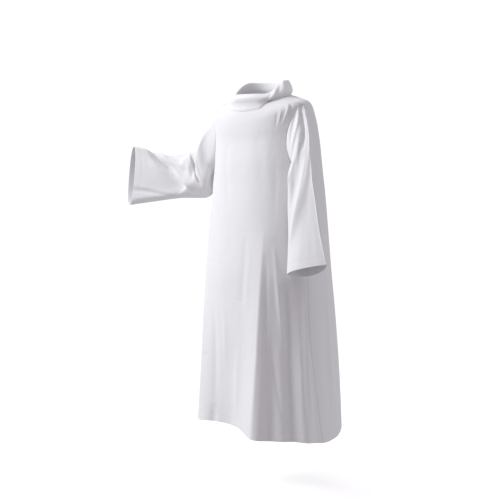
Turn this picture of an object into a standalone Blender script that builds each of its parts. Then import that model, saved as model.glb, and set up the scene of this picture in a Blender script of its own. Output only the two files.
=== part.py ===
"""Alb robe: a long white vestment with wide sleeves and a soft cowl collar.

Metres, +Z up.  The garment's front faces -Y and the wearer's left side is +X.  The origin lies inside the
neck, at the height where the cloth rests on the shoulders.

Angles run round the body from the front (0) over the wearer's left (90) to the back (180).  Angles round a
sleeve run from its outer line (0) over its front (90) to its inner line (180).
"""

import math
from collections import namedtuple

import bmesh
import bpy
import numpy as np

# ---------------------------------------------------------------------------------------- driving sizes
# FOLD_HEAD is how quickly a body fold forms below its upper end, FOLD_FULLNESS how soon a sleeve fold is full
# and SLEEVE_ROW_CROWDING how much closer the sleeve's rows lie at the armhole than at the cuff.  SLEEVE_STAND
# is how far a sleeve stands straight out under the arm before it turns down, by SLEEVE_STAND_END along it.
WALL = 0.002
SEAM_GAP = 0.0003
COLLAR_CLEARANCE = 0.0035

PANEL_COLUMNS = 34
SKIRT_ROWS = 12
SLEEVE_COLUMNS = 32
SHOULDER_ROWS = 4
SLEEVE_ROWS = 16
COLLAR_ROWS = 11

ARMHOLE_RUN = 0.915
SHOULDER_RUN = 1.185
NECK_RUN = 1.300
ARMHOLE_FRONT_CUT = 31.0
ARMHOLE_BACK_CUT = 4.0
SIDE_ANGLE = 90.0

# One row for each place of the side seam below the armhole: its run and its angle from the front's middle.
SeamPlace = namedtuple("SeamPlace", "run angle")
SIDE_SEAM = [
    SeamPlace(0.000, 86.0),
    SeamPlace(0.180, 81.0),
    SeamPlace(0.400, 77.5),
    SeamPlace(0.560, 78.5),
    SeamPlace(0.720, 83.0),
    SeamPlace(0.915, 90.0),
]

SMALL_RUN = 0.002
SMALL_ANGLE = 1.0
FOLD_HEAD = 4.0
FOLD_FULLNESS = 0.8
SLEEVE_ROW_CROWDING = 1.1
SLEEVE_STAND = 0.009
SLEEVE_STAND_END = 0.025
MERGE_DISTANCE = 1e-7

CLOTH_ROUGHNESS = 0.8
CLOTH_SHEEN = 0.15

# One row for each ring of the body, from hem to neck.  run is the length up the side from the hem; z_front,
# z_side and z_back are the ring's heights, lean lifts its right and lowers its left; half_width, front and
# back are its half sizes about centre_y; power is 2 for an ellipse and more for a squarer ring.
Ring = namedtuple("Ring", "run z_front z_side z_back lean half_width front back centre_y power")
BODY = [
    Ring(0.000, -1.200, -1.215, -1.230, 0.015, 0.290, 0.235, 0.240, 0.040, 2.10),
    Ring(0.200, -1.006, -1.016, -1.026, 0.009, 0.272, 0.221, 0.231, 0.040, 2.15),
    Ring(0.425, -0.787, -0.790, -0.796, 0.004, 0.254, 0.207, 0.217, 0.037, 2.20),
    Ring(0.715, -0.500, -0.500, -0.500, 0.000, 0.232, 0.184, 0.189, 0.033, 2.30),
    Ring(0.870, -0.345, -0.345, -0.345, 0.000, 0.217, 0.170, 0.174, 0.033, 2.40),
    Ring(0.975, -0.240, -0.240, -0.240, 0.000, 0.209, 0.158, 0.162, 0.029, 2.45),
    Ring(1.075, -0.163, -0.139, -0.145, 0.001, 0.205, 0.143, 0.148, 0.023, 2.50),
    Ring(1.145, -0.119, -0.070, -0.084, 0.003, 0.203, 0.137, 0.133, 0.016, 2.45),
    Ring(1.185, -0.090, -0.028, -0.040, 0.004, 0.195, 0.130, 0.121, 0.010, 2.35),
    Ring(1.240, -0.056, -0.009, -0.006, 0.003, 0.147, 0.117, 0.104, 0.005, 2.15),
    Ring(1.300, -0.029, 0.003, 0.012, 0.000, 0.091, 0.088, 0.082, 0.003, 2.00),
]

# One row for each fold of the body: its angle at the hem and at its upper end, its widths there, its depth
# at the hem (ridges out are positive), the run where it fades out, and how fast it deepens downwards.
BodyFold = namedtuple("BodyFold", "hem_angle top_angle hem_width top_width depth top_run growth")
BODY_FOLDS = [
    BodyFold(-6.0, 2.0, 24.0, 28.0, -0.054, 0.64, 1.4),
    BodyFold(26.0, 33.0, 9.0, 12.0, 0.030, 0.86, 0.9),
    BodyFold(39.0, 40.0, 7.0, 7.0, -0.012, 0.62, 0.9),
    BodyFold(57.0, 51.0, 8.0, 7.5, -0.020, 0.66, 0.9),
    BodyFold(67.5, 61.0, 7.0, 7.0, 0.014, 0.58, 0.8),
    BodyFold(79.0, 74.0, 8.0, 7.5, -0.009, 0.55, 0.9),
    BodyFold(98.0, 94.0, 9.0, 7.0, -0.006, 0.60, 0.9),
    BodyFold(122.0, 118.0, 14.0, 12.0, -0.003, 0.75, 0.9),
    BodyFold(146.0, 150.0, 10.0, 8.0, -0.014, 0.84, 0.9),
    BodyFold(166.0, 168.0, 8.0, 7.0, 0.014, 0.72, 0.8),
    BodyFold(187.0, 183.0, 9.0, 7.0, -0.015, 0.80, 0.9),
    BodyFold(209.0, 205.0, 9.0, 8.0, 0.015, 0.76, 0.9),
    BodyFold(232.0, 228.0, 10.0, 8.0, -0.013, 0.70, 0.9),
    BodyFold(255.0, 252.0, 9.0, 7.0, 0.010, 0.62, 0.8),
    BodyFold(277.0, 280.0, 8.0, 7.0, -0.012, 0.66, 0.9),
    BodyFold(297.0, 299.0, 8.0, 7.0, 0.010, 0.60, 0.8),
    BodyFold(326.0, 322.0, 10.0, 9.0, 0.014, 0.78, 0.9),
    BodyFold(314.0, 314.0, 18.0, 18.0, 0.005, 0.92, 0.2),
]

# One row for each place where the hem hangs lower (negative) or higher, fading out at HEM_DIP_RUN.
HemDip = namedtuple("HemDip", "angle width rise")
HEM_DIPS = [
    HemDip(-48.0, 16.0, -0.012),
    HemDip(22.0, 9.0, -0.008),
    HemDip(36.0, 13.0, -0.014),
    HemDip(58.0, 16.0, -0.010),
    HemDip(88.0, 18.0, -0.014),
    HemDip(126.0, 15.0, 0.018),
]
HEM_DIP_RUN = 0.30

# One row for each section of a sleeve past the armhole: along is 0 at the armhole and 1 at the cuff; the
# outer and inner points are where the sleeve's two lines cross the section; front and back are its half
# widths to either side of them; facing is the way its front side looks, in degrees from the robe's front
# towards the wearer's left; power as for the rings; edge is 0 where its outer line is round and 1 where the
# two sides meet there in a sharp fold; tilt is how much higher its front lies than its back.
Section = namedtuple("Section", "along outer inner front back facing power edge tilt")
EDGE_THINNING = 0.23
LEFT_SLEEVE = [
    Section(0.13, (0.252, -0.030, -0.103), (0.226, -0.020, -0.290), 0.062, 0.034, 0.0, 2.2, 0.4, 0.0),
    Section(0.30, (0.302, -0.066, -0.200), (0.213, -0.050, -0.334), 0.050, 0.044, 0.0, 2.1, 1.0, 0.0),
    Section(0.52, (0.346, -0.093, -0.335), (0.207, -0.058, -0.390), 0.034, 0.046, 0.0, 2.1, 1.0, 0.1),
    Section(0.76, (0.373, -0.094, -0.466), (0.216, -0.066, -0.503), 0.034, 0.050, 0.0, 2.1, 1.0, 0.2),
    Section(1.00, (0.404, -0.090, -0.588), (0.221, -0.074, -0.642), 0.048, 0.058, 0.0, 2.1, 1.0, 0.2),
]
RIGHT_SLEEVE = [
    Section(0.13, (-0.240, -0.010, -0.086), (-0.227, -0.004, -0.298), 0.066, 0.050, 8.0, 2.2, 0.0, 0.0),
    Section(0.34, (-0.302, -0.024, -0.150), (-0.236, -0.024, -0.350), 0.074, 0.062, 20.0, 2.2, 0.0, 0.0),
    Section(0.52, (-0.361, -0.042, -0.212), (-0.267, -0.054, -0.376), 0.066, 0.062, 36.0, 2.2, 0.0, 0.0),
    Section(0.70, (-0.413, -0.088, -0.214), (-0.349, -0.092, -0.379), 0.054, 0.054, 42.0, 2.2, 0.0, 0.0),
    Section(0.86, (-0.472, -0.143, -0.189), (-0.442, -0.145, -0.392), 0.040, 0.042, 48.0, 2.3, 0.0, 0.0),
    Section(1.00, (-0.517, -0.184, -0.178), (-0.522, -0.204, -0.405), 0.030, 0.034, 70.0, 2.3, 0.0, 0.0),
]

# One row for each fold of a sleeve: its angle at its start and end, its start and end along the sleeve, its
# width round the sleeve and its depth.
SleeveFold = namedtuple("SleeveFold", "start_angle end_angle start end width depth")
LEFT_SLEEVE_FOLDS = [
    SleeveFold(4.0, 46.0, 0.02, 0.26, 12.0, -0.006),
    SleeveFold(24.0, 88.0, 0.02, 0.26, 12.0, 0.006),
    SleeveFold(-2.0, 140.0, 0.18, 0.88, 14.0, 0.006),
    SleeveFold(46.0, 112.0, 0.14, 0.60, 13.0, -0.005),
    SleeveFold(-24.0, -40.0, 0.10, 0.46, 14.0, -0.004),
    SleeveFold(-70.0, -96.0, 0.20, 0.90, 16.0, -0.005),
    SleeveFold(200.0, 190.0, 0.40, 1.02, 18.0, -0.005),
    SleeveFold(236.0, 226.0, 0.35, 0.98, 16.0, 0.006),
]
RIGHT_SLEEVE_FOLDS = [
    SleeveFold(16.0, 44.0, 0.03, 0.36, 13.0, -0.006),
    SleeveFold(40.0, 74.0, 0.03, 0.40, 13.0, 0.006),
    SleeveFold(-18.0, -22.0, 0.03, 0.36, 13.0, 0.006),
    SleeveFold(60.0, 116.0, 0.36, 0.60, 13.0, -0.013),
    SleeveFold(30.0, 78.0, 0.38, 0.66, 13.0, 0.006),
    SleeveFold(104.0, 26.0, 0.50, 0.98, 14.0, -0.010),
    SleeveFold(134.0, 66.0, 0.50, 0.88, 14.0, 0.007),
    SleeveFold(146.0, 138.0, 0.60, 1.04, 14.0, 0.008),
    SleeveFold(196.0, 190.0, 0.30, 0.98, 16.0, -0.005),
    SleeveFold(250.0, 300.0, 0.42, 0.90, 17.0, 0.008),
    SleeveFold(282.0, 250.0, 0.40, 0.76, 14.0, -0.008),
]

# One row for each line of the collar, from the neck seam over the rim to the free edge.  The distances from
# the middle are given at the front, side and back, then the heights in front and behind.  turn is how far
# along the cloth it lies.
CollarLine = namedtuple("CollarLine", "turn r_front r_side r_back z_front z_back")
COLLAR = [
    CollarLine(0.18, 0.0880, 0.0885, 0.0830, -0.0125, 0.0300),
    CollarLine(0.36, 0.0905, 0.0900, 0.0885, -0.0005, 0.0490),
    CollarLine(0.43, 0.0930, 0.0920, 0.0915, 0.0030, 0.0550),
    CollarLine(0.49, 0.0975, 0.0955, 0.0955, 0.0060, 0.0575),
    CollarLine(0.56, 0.1060, 0.1025, 0.1005, 0.0030, 0.0520),
    CollarLine(0.72, 0.1260, 0.1135, 0.1095, -0.0120, 0.0290),
]
COLLAR_RISE_LEFT = (50.0, 106.0)
COLLAR_RISE_RIGHT = (34.0, 112.0)
COLLAR_EDGE_RUN = 1.276
COLLAR_DROP_RUN = 1.236
COLLAR_DROP_FULL = 30.0
COLLAR_DROP_GONE = 54.0

CollarFold = namedtuple("CollarFold", "angle width start end depth")
COLLAR_FOLDS = [
    CollarFold(62.0, 8.0, 0.50, 0.95, 0.0020),
    CollarFold(76.0, 6.0, 0.50, 0.92, -0.0022),
    CollarFold(90.0, 7.0, 0.50, 0.96, 0.0024),
    CollarFold(106.0, 6.0, 0.50, 0.94, -0.0022),
    CollarFold(262.0, 7.0, 0.50, 0.94, -0.0022),
    CollarFold(282.0, 8.0, 0.50, 0.95, 0.0022),
    CollarFold(6.0, 34.0, 0.76, 0.95, -0.0042),
]

# ------------------------------------------------------------------------------------------ mathematics


def smooth_table(places, values, at):
    """Runs a smooth curve without overshoot through the table's values, which may be numbers or points."""
    places = np.asarray(places, dtype=float)
    values = np.asarray(values, dtype=float)
    steps = np.diff(places)
    shape = (-1,) + (1,) * (values.ndim - 1)
    slopes = np.diff(values, axis=0) / steps.reshape(shape)
    tangents = np.empty_like(values)
    tangents[0] = slopes[0]
    tangents[-1] = slopes[-1]
    before = steps[:-1].reshape(shape)
    after = steps[1:].reshape(shape)
    mean = (slopes[:-1] * after + slopes[1:] * before) / (before + after)
    limit = 3.0 * np.minimum(np.abs(slopes[:-1]), np.abs(slopes[1:]))
    same_way = slopes[:-1] * slopes[1:] > 0.0
    tangents[1:-1] = np.where(same_way, np.clip(mean, -limit, limit), 0.0)
    at = min(max(at, places[0]), places[-1])
    k = min(int(np.searchsorted(places, at, side="right")) - 1, len(steps) - 1)
    t = (at - places[k]) / steps[k]
    rise = t * t * (3.0 - 2.0 * t)
    leave = t * (1.0 - t) ** 2 * steps[k]
    arrive = t * t * (t - 1.0) * steps[k]
    return values[k] * (1.0 - rise) + values[k + 1] * rise + tangents[k] * leave + tangents[k + 1] * arrive


def smooth_step(t):
    """Rises from 0 to 1 with level ends."""
    t = min(max(t, 0.0), 1.0)
    return t * t * (3.0 - 2.0 * t)


def bump(difference, width):
    """A soft hump of height 1 for an angle's difference in degrees."""
    wrapped = (difference + 180.0) % 360.0 - 180.0
    return math.exp(-((wrapped / width) ** 2))


def signed_power(value, power):
    """Raises a number's size to a power and keeps its sign."""
    return math.copysign(abs(value) ** power, value)


def round_value(front, side, back, angle):
    """A value that varies smoothly round the neck, given at the front, both sides and the back."""
    mean = (front + back + 2.0 * side) / 4.0
    even = (front + back - 2.0 * side) / 4.0
    odd = (front - back) / 2.0
    a = math.radians(angle)
    return mean + odd * math.cos(a) + even * math.cos(2.0 * a)


# ------------------------------------------------------------------------------------------- body form
BODY_RUNS = [ring.run for ring in BODY]
BODY_VALUES = [ring[1:] for ring in BODY]
SEAM_RUNS = [place.run for place in SIDE_SEAM]
SEAM_ANGLES = [place.angle for place in SIDE_SEAM]


def fold_push(run, angle):
    """How far the body's folds push the cloth out at a place."""
    push = 0.0
    for fold in BODY_FOLDS:
        if run >= fold.top_run:
            continue
        down = 1.0 - run / fold.top_run
        centre = fold.top_angle + (fold.hem_angle - fold.top_angle) * down
        width = fold.top_width + (fold.hem_width - fold.top_width) * down
        push += fold.depth * down**fold.growth * smooth_step(down * FOLD_HEAD) * bump(angle - centre, width)
    return push


def hem_rise(run, angle):
    """How far the cloth near the hem is lifted at a place."""
    share = max(1.0 - run / HEM_DIP_RUN, 0.0) ** 2
    return share * sum(dip.rise * bump(angle - dip.angle, dip.width) for dip in HEM_DIPS)


def body_point(run, angle):
    """The outer face of the body at a run up the side and an angle round it."""
    z_front, z_side, z_back, lean, half_width, front, back, centre_y, power = smooth_table(
        BODY_RUNS, BODY_VALUES, run
    )
    a = math.radians(angle)
    across = signed_power(math.sin(a), 2.0 / power)
    ahead = signed_power(math.cos(a), 2.0 / power)
    depth = front if ahead > 0.0 else back
    out = fold_push(run, angle)
    reach = math.hypot(half_width * across, depth * ahead)
    grow = 1.0 + out / reach
    z = round_value(z_front, z_side, z_back, angle) - lean * math.sin(a)
    z += hem_rise(run, angle)
    return np.array([half_width * across * grow, centre_y - depth * ahead * grow, z])


def body_normal(run, angle):
    """The outward direction of the body's face."""
    low = max(run - SMALL_RUN, 0.0)
    high = min(run + SMALL_RUN, NECK_RUN)
    up = body_point(high, angle) - body_point(low, angle)
    round_way = body_point(run, angle + SMALL_ANGLE) - body_point(run, angle - SMALL_ANGLE)
    normal = np.cross(round_way, up)
    return normal / np.linalg.norm(normal)


def armhole_place(turn):
    """The armhole's run turn degrees from its top, and its angles from the front's and the back's middle."""
    high = (1.0 + math.cos(math.radians(turn))) / 2.0
    run = ARMHOLE_RUN + (SHOULDER_RUN - ARMHOLE_RUN) * high
    round_off = math.sqrt(max(math.sin(math.pi * high), 0.0))
    return run, SIDE_ANGLE - ARMHOLE_FRONT_CUT * round_off, SIDE_ANGLE - ARMHOLE_BACK_CUT * round_off


def panel_rows():
    """Each row of a panel: its run and the angle from the panel's middle to its edge in front and behind."""
    rows = []
    for row in range(SKIRT_ROWS):
        run = ARMHOLE_RUN * row / SKIRT_ROWS
        seam = float(smooth_table(SEAM_RUNS, SEAM_ANGLES, run))
        rows.append((run, seam, 2.0 * SIDE_ANGLE - seam))
    half = SLEEVE_COLUMNS // 2
    for row in range(half + 1):
        rows.append(armhole_place(180.0 * (1.0 - row / half)))
    for row in range(1, SHOULDER_ROWS + 1):
        run = SHOULDER_RUN + (NECK_RUN - SHOULDER_RUN) * row / SHOULDER_ROWS
        rows.append((run, SIDE_ANGLE, SIDE_ANGLE))
    return rows


def panel_grid(is_front):
    """Outer and inner points of the front or back panel, row by row."""
    outer = []
    inner = []
    first_hole = SKIRT_ROWS
    last_hole = SKIRT_ROWS + SLEEVE_COLUMNS // 2
    for number, (run, front_edge, back_edge) in enumerate(panel_rows()):
        edge = front_edge if is_front else back_edge
        middle = 0.0 if is_front else 180.0
        on_seam = number <= first_hole or number >= last_hole
        if on_seam:
            left = body_point(run, SIDE_ANGLE)
            ahead = body_point(run, SIDE_ANGLE - SMALL_ANGLE)
            edge -= SEAM_GAP / 2.0 / np.linalg.norm(left - ahead)
        outer_row = []
        inner_row = []
        for column in range(PANEL_COLUMNS + 1):
            angle = middle + edge * (2.0 * column / PANEL_COLUMNS - 1.0)
            point = body_point(run, angle)
            outer_row.append(point)
            inner_row.append(point - WALL * body_normal(run, angle))
        outer.append(outer_row)
        inner.append(inner_row)
    return np.array(outer), np.array(inner)


# ------------------------------------------------------------------------------------------ sleeve form


def armhole_edge(turn, side):
    """The armhole edge's point and outward direction on a side, 1 for the left and -1 for the right."""
    turn = turn % 360.0
    run, front_edge, back_edge = armhole_place(turn if turn <= 180.0 else 360.0 - turn)
    angle = front_edge if turn <= 180.0 else 180.0 - back_edge
    return body_point(run, side * angle), body_normal(run, side * angle)


def section_ring(section, turns):
    """The points of one sleeve section at the turns round it."""
    outer = np.array(section.outer)
    inner = np.array(section.inner)
    middle = (outer + inner) / 2.0
    half = (outer - inner) / 2.0
    length = np.linalg.norm(half)
    facing = math.radians(section.facing)
    front_way = np.array([math.sin(facing), -math.cos(facing), section.tilt])
    front_way -= half * np.dot(front_way, half) / length**2
    front_way /= np.linalg.norm(front_way)
    points = []
    for turn in turns:
        a = math.radians(turn)
        lengthways = signed_power(math.cos(a), 2.0 / section.power)
        sideways = signed_power(math.sin(a), 2.0 / section.power)
        reach = section.front if sideways > 0.0 else section.back
        taper = ((1.0 - lengthways) / 2.0) ** (section.edge / 2.0) / (1.0 - EDGE_THINNING * section.edge)
        points.append(middle + half * lengthways + front_way * reach * taper * sideways)
    return points


def grid_normals(points, outward):
    """Outward directions for a tube's grid of points whose columns close on themselves."""
    round_way = np.roll(points, -1, axis=1) - np.roll(points, 1, axis=1)
    along = np.gradient(points, axis=0)
    normals = np.cross(round_way, along) * outward
    return normals / np.linalg.norm(normals, axis=2, keepdims=True)


def sleeve_grid(sections, folds, side):
    """Outer and inner points of a sleeve, row by row from armhole to cuff."""
    turns = [360.0 * column / SLEEVE_COLUMNS for column in range(SLEEVE_COLUMNS)]
    edge = []
    edge_normals = []
    for turn in turns:
        point, normal = armhole_edge(turn, side)
        edge.append(point)
        edge_normals.append(normal)
    edge = np.array(edge)
    edge_normals = np.array(edge_normals)
    tangents = np.roll(edge, -1, axis=0) - np.roll(edge, 1, axis=0)
    across = np.cross(edge_normals, tangents)
    across /= np.linalg.norm(across, axis=1, keepdims=True)
    across *= np.sign(np.sum(across * (edge.mean(axis=0) - edge), axis=1, keepdims=True))
    start = edge + across * SEAM_GAP
    low = np.array([(1.0 - math.cos(math.radians(turn))) / 2.0 for turn in turns])
    stand = start + edge_normals * (SLEEVE_STAND * low)[:, None]
    rings = [start, stand] + [section_ring(section, turns) for section in sections]
    places = [0.0, SLEEVE_STAND_END] + [section.along for section in sections]
    rows = []
    alongs = []
    for row in range(SLEEVE_ROWS + 1):
        along = (row / SLEEVE_ROWS) ** SLEEVE_ROW_CROWDING
        alongs.append(along)
        rows.append(smooth_table(places, rings, along))
    outer = np.array(rows)
    normals = grid_normals(outer, side)
    for row, along in enumerate(alongs):
        for column, turn in enumerate(turns):
            push = 0.0
            for fold in folds:
                if not fold.start < along < fold.end:
                    continue
                part = (along - fold.start) / (fold.end - fold.start)
                centre = fold.start_angle + (fold.end_angle - fold.start_angle) * part
                strength = math.sin(math.pi * part) ** FOLD_FULLNESS
                push += fold.depth * strength * bump(turn - centre, fold.width)
            outer[row, column] += normals[row, column] * push
    inner = outer - WALL * grid_normals(outer, side)
    inner[0] = start - WALL * edge_normals
    return outer, inner


# ------------------------------------------------------------------------------------------ collar form


def half_turn(angle):
    """The angle from the front to either side, and the side: 1 for the left and -1 for the right."""
    angle = angle % 360.0
    return (angle, 1) if angle <= 180.0 else (360.0 - angle, -1)


def collar_place(line, angle):
    """A collar line's point at an angle round the neck: low in front, rising past the sides to the back."""
    away, side = half_turn(angle)
    start, end = COLLAR_RISE_LEFT if side > 0 else COLLAR_RISE_RIGHT
    rise = smooth_step((away - start) / (end - start))
    height = line.z_front + (line.z_back - line.z_front) * rise
    reach = round_value(line.r_front, line.r_side, line.r_back, angle)
    a = math.radians(angle)
    return np.array([reach * math.sin(a), -reach * math.cos(a), height])


def collar_edge(angle):
    """The collar's free edge, just off the body: it drops lower over the front."""
    away, _ = half_turn(angle)
    drop = 1.0 - smooth_step((away - COLLAR_DROP_FULL) / (COLLAR_DROP_GONE - COLLAR_DROP_FULL))
    run = COLLAR_EDGE_RUN + (COLLAR_DROP_RUN - COLLAR_EDGE_RUN) * drop
    return body_point(run, angle) + body_normal(run, angle) * (COLLAR_CLEARANCE + WALL)


def collar_grid():
    """Outer and inner points of the collar, from the neck seam over the rim to the free edge."""
    count = 2 * PANEL_COLUMNS
    angles = [360.0 * column / count for column in range(count)]
    start = []
    start_normals = []
    edge = []
    for angle in angles:
        normal = body_normal(NECK_RUN, angle)
        up = body_point(NECK_RUN, angle) - body_point(NECK_RUN - SMALL_RUN, angle)
        up /= np.linalg.norm(up)
        start.append(body_point(NECK_RUN, angle) + up * SEAM_GAP)
        start_normals.append(normal)
        edge.append(collar_edge(angle))
    lines = [start] + [[collar_place(line, angle) for angle in angles] for line in COLLAR] + [edge]
    places = [0.0] + [line.turn for line in COLLAR] + [1.0]
    turns = [row / COLLAR_ROWS for row in range(COLLAR_ROWS + 1)]
    outer = np.array([smooth_table(places, lines, turn) for turn in turns])
    # The stand's hidden face is the cloth's outer face: the wall lies towards the neck.
    normals = grid_normals(outer, 1.0)
    for row, turn in enumerate(turns):
        for column, angle in enumerate(angles):
            push = 0.0
            for fold in COLLAR_FOLDS:
                if fold.start < turn < fold.end:
                    part = (turn - fold.start) / (fold.end - fold.start)
                    push += fold.depth * math.sin(math.pi * part) * bump(angle - fold.angle, fold.width)
            outer[row, column] -= normals[row, column] * push
    inner = outer - WALL * grid_normals(outer, 1.0)
    inner[0] = np.array(start) - WALL * np.array(start_normals)
    return outer, inner


# ------------------------------------------------------------------------------------- building solids


def cloth_material(name, colour):
    """A plain cloth finish."""
    material = bpy.data.materials.new(name)
    material.use_nodes = True
    shader = material.node_tree.nodes["Principled BSDF"]
    shader.inputs["Base Color"].default_value = (*colour, 1.0)
    shader.inputs["Roughness"].default_value = CLOTH_ROUGHNESS
    shader.inputs["Sheen Weight"].default_value = CLOTH_SHEEN
    material.diffuse_color = (*colour, 1.0)
    return material


def make_wall(name, grid, closed, material, collection):
    """Makes one cloth wall from its outer and inner points: a grid, given thickness by Solidify."""
    outer, inner = grid
    rows, columns = outer.shape[:2]
    spans = columns if closed else columns - 1
    sheet = bmesh.new()
    bmesh.ops.create_grid(sheet, x_segments=spans, y_segments=rows - 1, size=1.0)
    number = sheet.verts.layers.int.new("number")
    for vertex in sheet.verts:
        column = round((vertex.co.x + 1.0) / 2.0 * spans) % columns
        row = round((vertex.co.y + 1.0) / 2.0 * (rows - 1))
        vertex[number] = row * columns + column
        vertex.co = outer[row, column]
    bmesh.ops.remove_doubles(sheet, verts=sheet.verts[:], dist=MERGE_DISTANCE)
    sheet.verts.index_update()
    numbers = [vertex[number] for vertex in sheet.verts]
    bmesh.ops.recalc_face_normals(sheet, faces=sheet.faces[:])
    sheet.faces.ensure_lookup_table()
    face = sheet.faces[0]
    out = sum((outer.reshape(-1, 3)[v[number]] - inner.reshape(-1, 3)[v[number]]) for v in face.verts)
    if np.dot(out, face.normal) < 0.0:
        bmesh.ops.reverse_faces(sheet, faces=sheet.faces[:])
    mesh = bpy.data.meshes.new(name)
    sheet.to_mesh(mesh)
    sheet.free()
    thing = bpy.data.objects.new(name, mesh)
    collection.objects.link(thing)
    thickness = thing.modifiers.new("Wall", "SOLIDIFY")
    thickness.thickness = WALL
    thickness.offset = -1.0
    bpy.context.view_layer.objects.active = thing
    thing.select_set(True)
    bpy.ops.object.modifier_apply(modifier=thickness.name)
    thing.select_set(False)
    flat_inner = inner.reshape(-1, 3)
    for place, original in enumerate(numbers):
        thing.data.vertices[len(numbers) + place].co = flat_inner[original]
    thing.data.attributes.remove(thing.data.attributes["number"])
    thing.data.materials.append(material)
    thing.data.update()
    return thing


def main():
    """Builds the robe's five cut pieces."""
    for thing in list(bpy.data.objects):
        bpy.data.objects.remove(thing, do_unlink=True)
    robe = bpy.data.collections.new("alb_robe")
    bpy.context.scene.collection.children.link(robe)
    pieces = [
        ("front", panel_grid(True), False, (0.86, 0.86, 0.87)),
        ("back", panel_grid(False), False, (0.85, 0.85, 0.86)),
        ("sleeve_left", sleeve_grid(LEFT_SLEEVE, LEFT_SLEEVE_FOLDS, 1), True, (0.87, 0.87, 0.88)),
        ("sleeve_right", sleeve_grid(RIGHT_SLEEVE, RIGHT_SLEEVE_FOLDS, -1), True, (0.87, 0.87, 0.88)),
        ("collar", collar_grid(), True, (0.88, 0.88, 0.89)),
    ]
    for name, grid, closed, colour in pieces:
        material = cloth_material(name + "_cloth", colour)
        make_wall(name, grid, closed, material, robe)


main()
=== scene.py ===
"""Dresses the alb robe: cloth panels, sleeves and cowl with hems, seams, creases and stitches.

Metres, +Z up.  The garment's front faces -Y and the wearer's left side is +X.  Places on the body are an
angle round it, from the front (0) over the wearer's left (90) to the back (180), and a run up the side from
the hem.  Places on a sleeve are a turn round it, from its outer line (0) over its front (90) to its inner
line (180), and the share of the way along it from armhole (0) to cuff (1).
"""

import logging
import math
from dataclasses import astuple, dataclass, field
from enum import Enum

import bpy
import numpy as np
from bpy.types import Material, Mesh, Node, NodeSocket, NodeTree, Object
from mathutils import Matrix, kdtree


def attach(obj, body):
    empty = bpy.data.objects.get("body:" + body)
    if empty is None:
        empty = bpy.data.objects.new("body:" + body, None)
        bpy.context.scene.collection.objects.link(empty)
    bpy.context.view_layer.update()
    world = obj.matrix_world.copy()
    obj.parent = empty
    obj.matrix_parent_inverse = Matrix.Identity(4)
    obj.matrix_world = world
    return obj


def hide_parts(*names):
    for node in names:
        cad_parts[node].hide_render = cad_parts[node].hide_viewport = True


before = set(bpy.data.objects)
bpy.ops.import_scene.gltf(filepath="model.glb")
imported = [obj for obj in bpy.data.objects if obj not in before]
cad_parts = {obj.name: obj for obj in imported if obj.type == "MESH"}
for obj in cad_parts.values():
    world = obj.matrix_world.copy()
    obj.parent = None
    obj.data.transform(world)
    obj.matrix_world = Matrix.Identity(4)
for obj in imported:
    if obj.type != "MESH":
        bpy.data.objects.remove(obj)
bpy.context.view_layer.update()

logging.basicConfig(level=logging.INFO, format="%(message)s")
LOG = logging.getLogger("alb_robe")

# ---- Sizes of the body's cloth: runs up the side from the hem, and angles round it.
ARMHOLE_RUN = 0.915
SHOULDER_RUN = 1.185
NECK_RUN = 1.300
ARMHOLE_FRONT_CUT = 31.0
ARMHOLE_BACK_CUT = 4.0
SIDE_ANGLE = 90.0
HEM_DIP_RUN = 0.30
ARMHOLE_STEPS = 60

# ---- How folds and creases swell and fade.
FOLD_HEAD = 4.0
CREASE_FULLNESS = 0.8

# ---- The sleeve's stand at the underarm, and how much its section thins towards a sharp edge.
SLEEVE_STAND = 0.009
SLEEVE_STAND_END = 0.025
EDGE_THINNING = 0.23

# ---- Rows set closer over the fine creases, in metres along the sleeve.
CLOSE_ROW_STEP = 0.0026
ELBOW_ROWS = (0.405, 0.520)
SHOULDER_ROWS = (0.016, 0.170)

# ---- The cowl: the angles over which it rises on each side, and where its free edge lies.
COLLAR_RISE_LEFT = (50.0, 106.0)
COLLAR_RISE_RIGHT = (34.0, 112.0)
COLLAR_EDGE_RUN = 1.276
COLLAR_DROP_RUN = 1.236
COLLAR_DROP_FULL = 30.0
COLLAR_DROP_GONE = 54.0
COLLAR_STAND_OFF = 0.0010

# ---- Making: the shell, small steps for directions, rows near an edge, and sewn lines.
CLOTH_THICKNESS = 0.0007
SMALL_RUN = 0.002
SMALL_ANGLE = 0.6
SMALL_SHARE = 0.02
EDGE_STEPS = (0.0, 0.0012, 0.003, 0.006, 0.011, 0.017)
HEM_STEPS = (-0.0055, -0.0035, -0.002, -0.0005, 0.0015, 0.004)
EVEN_ROWS_START = 0.008
EVEN_ROW = 0.005
TINY = 1e-12
STITCH_INSET = 0.002
TURN_MARGIN = 0.0004
# Depth, width, pucker, pucker pitch and pucker width of each sewn line.
ARMHOLE_SEAM = (0.0009, 0.0022, 0.0003, 0.015, 0.009)
HEM_SEAM = (0.00035, 0.0016, 0.00022, 0.017, 0.008)
CUFF_SEAM = (0.00035, 0.0016, 0.00024, 0.015, 0.008)
COLLAR_SEAM = (0.0003, 0.0015, 0.0002, 0.012, 0.006)


class Face(Enum):
    """Which half of the body a panel covers, by the angle of its middle."""

    FRONT = 0.0
    BACK = 180.0


class Side(Enum):
    """Which arm a sleeve is for, by the sign of its X."""

    LEFT = 1
    RIGHT = -1


# ---- Rows of the tables.
@dataclass(frozen=True)
class Ring:
    """One ring of the body: its run, three heights, lean, half sizes about centre_y, and squareness."""

    run: float
    z_front: float
    z_side: float
    z_back: float
    lean: float
    half_width: float
    front: float
    back: float
    centre_y: float
    power: float

    def shape(self) -> tuple[float, ...]:
        """All but the run."""
        return astuple(self)[1:]


@dataclass(frozen=True)
class BodyFold:
    """One deep fold of the skirt, from the hem up to where it fades out."""

    hem_angle: float
    top_angle: float
    hem_width: float
    top_width: float
    depth: float
    top_run: float
    growth: float


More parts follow.
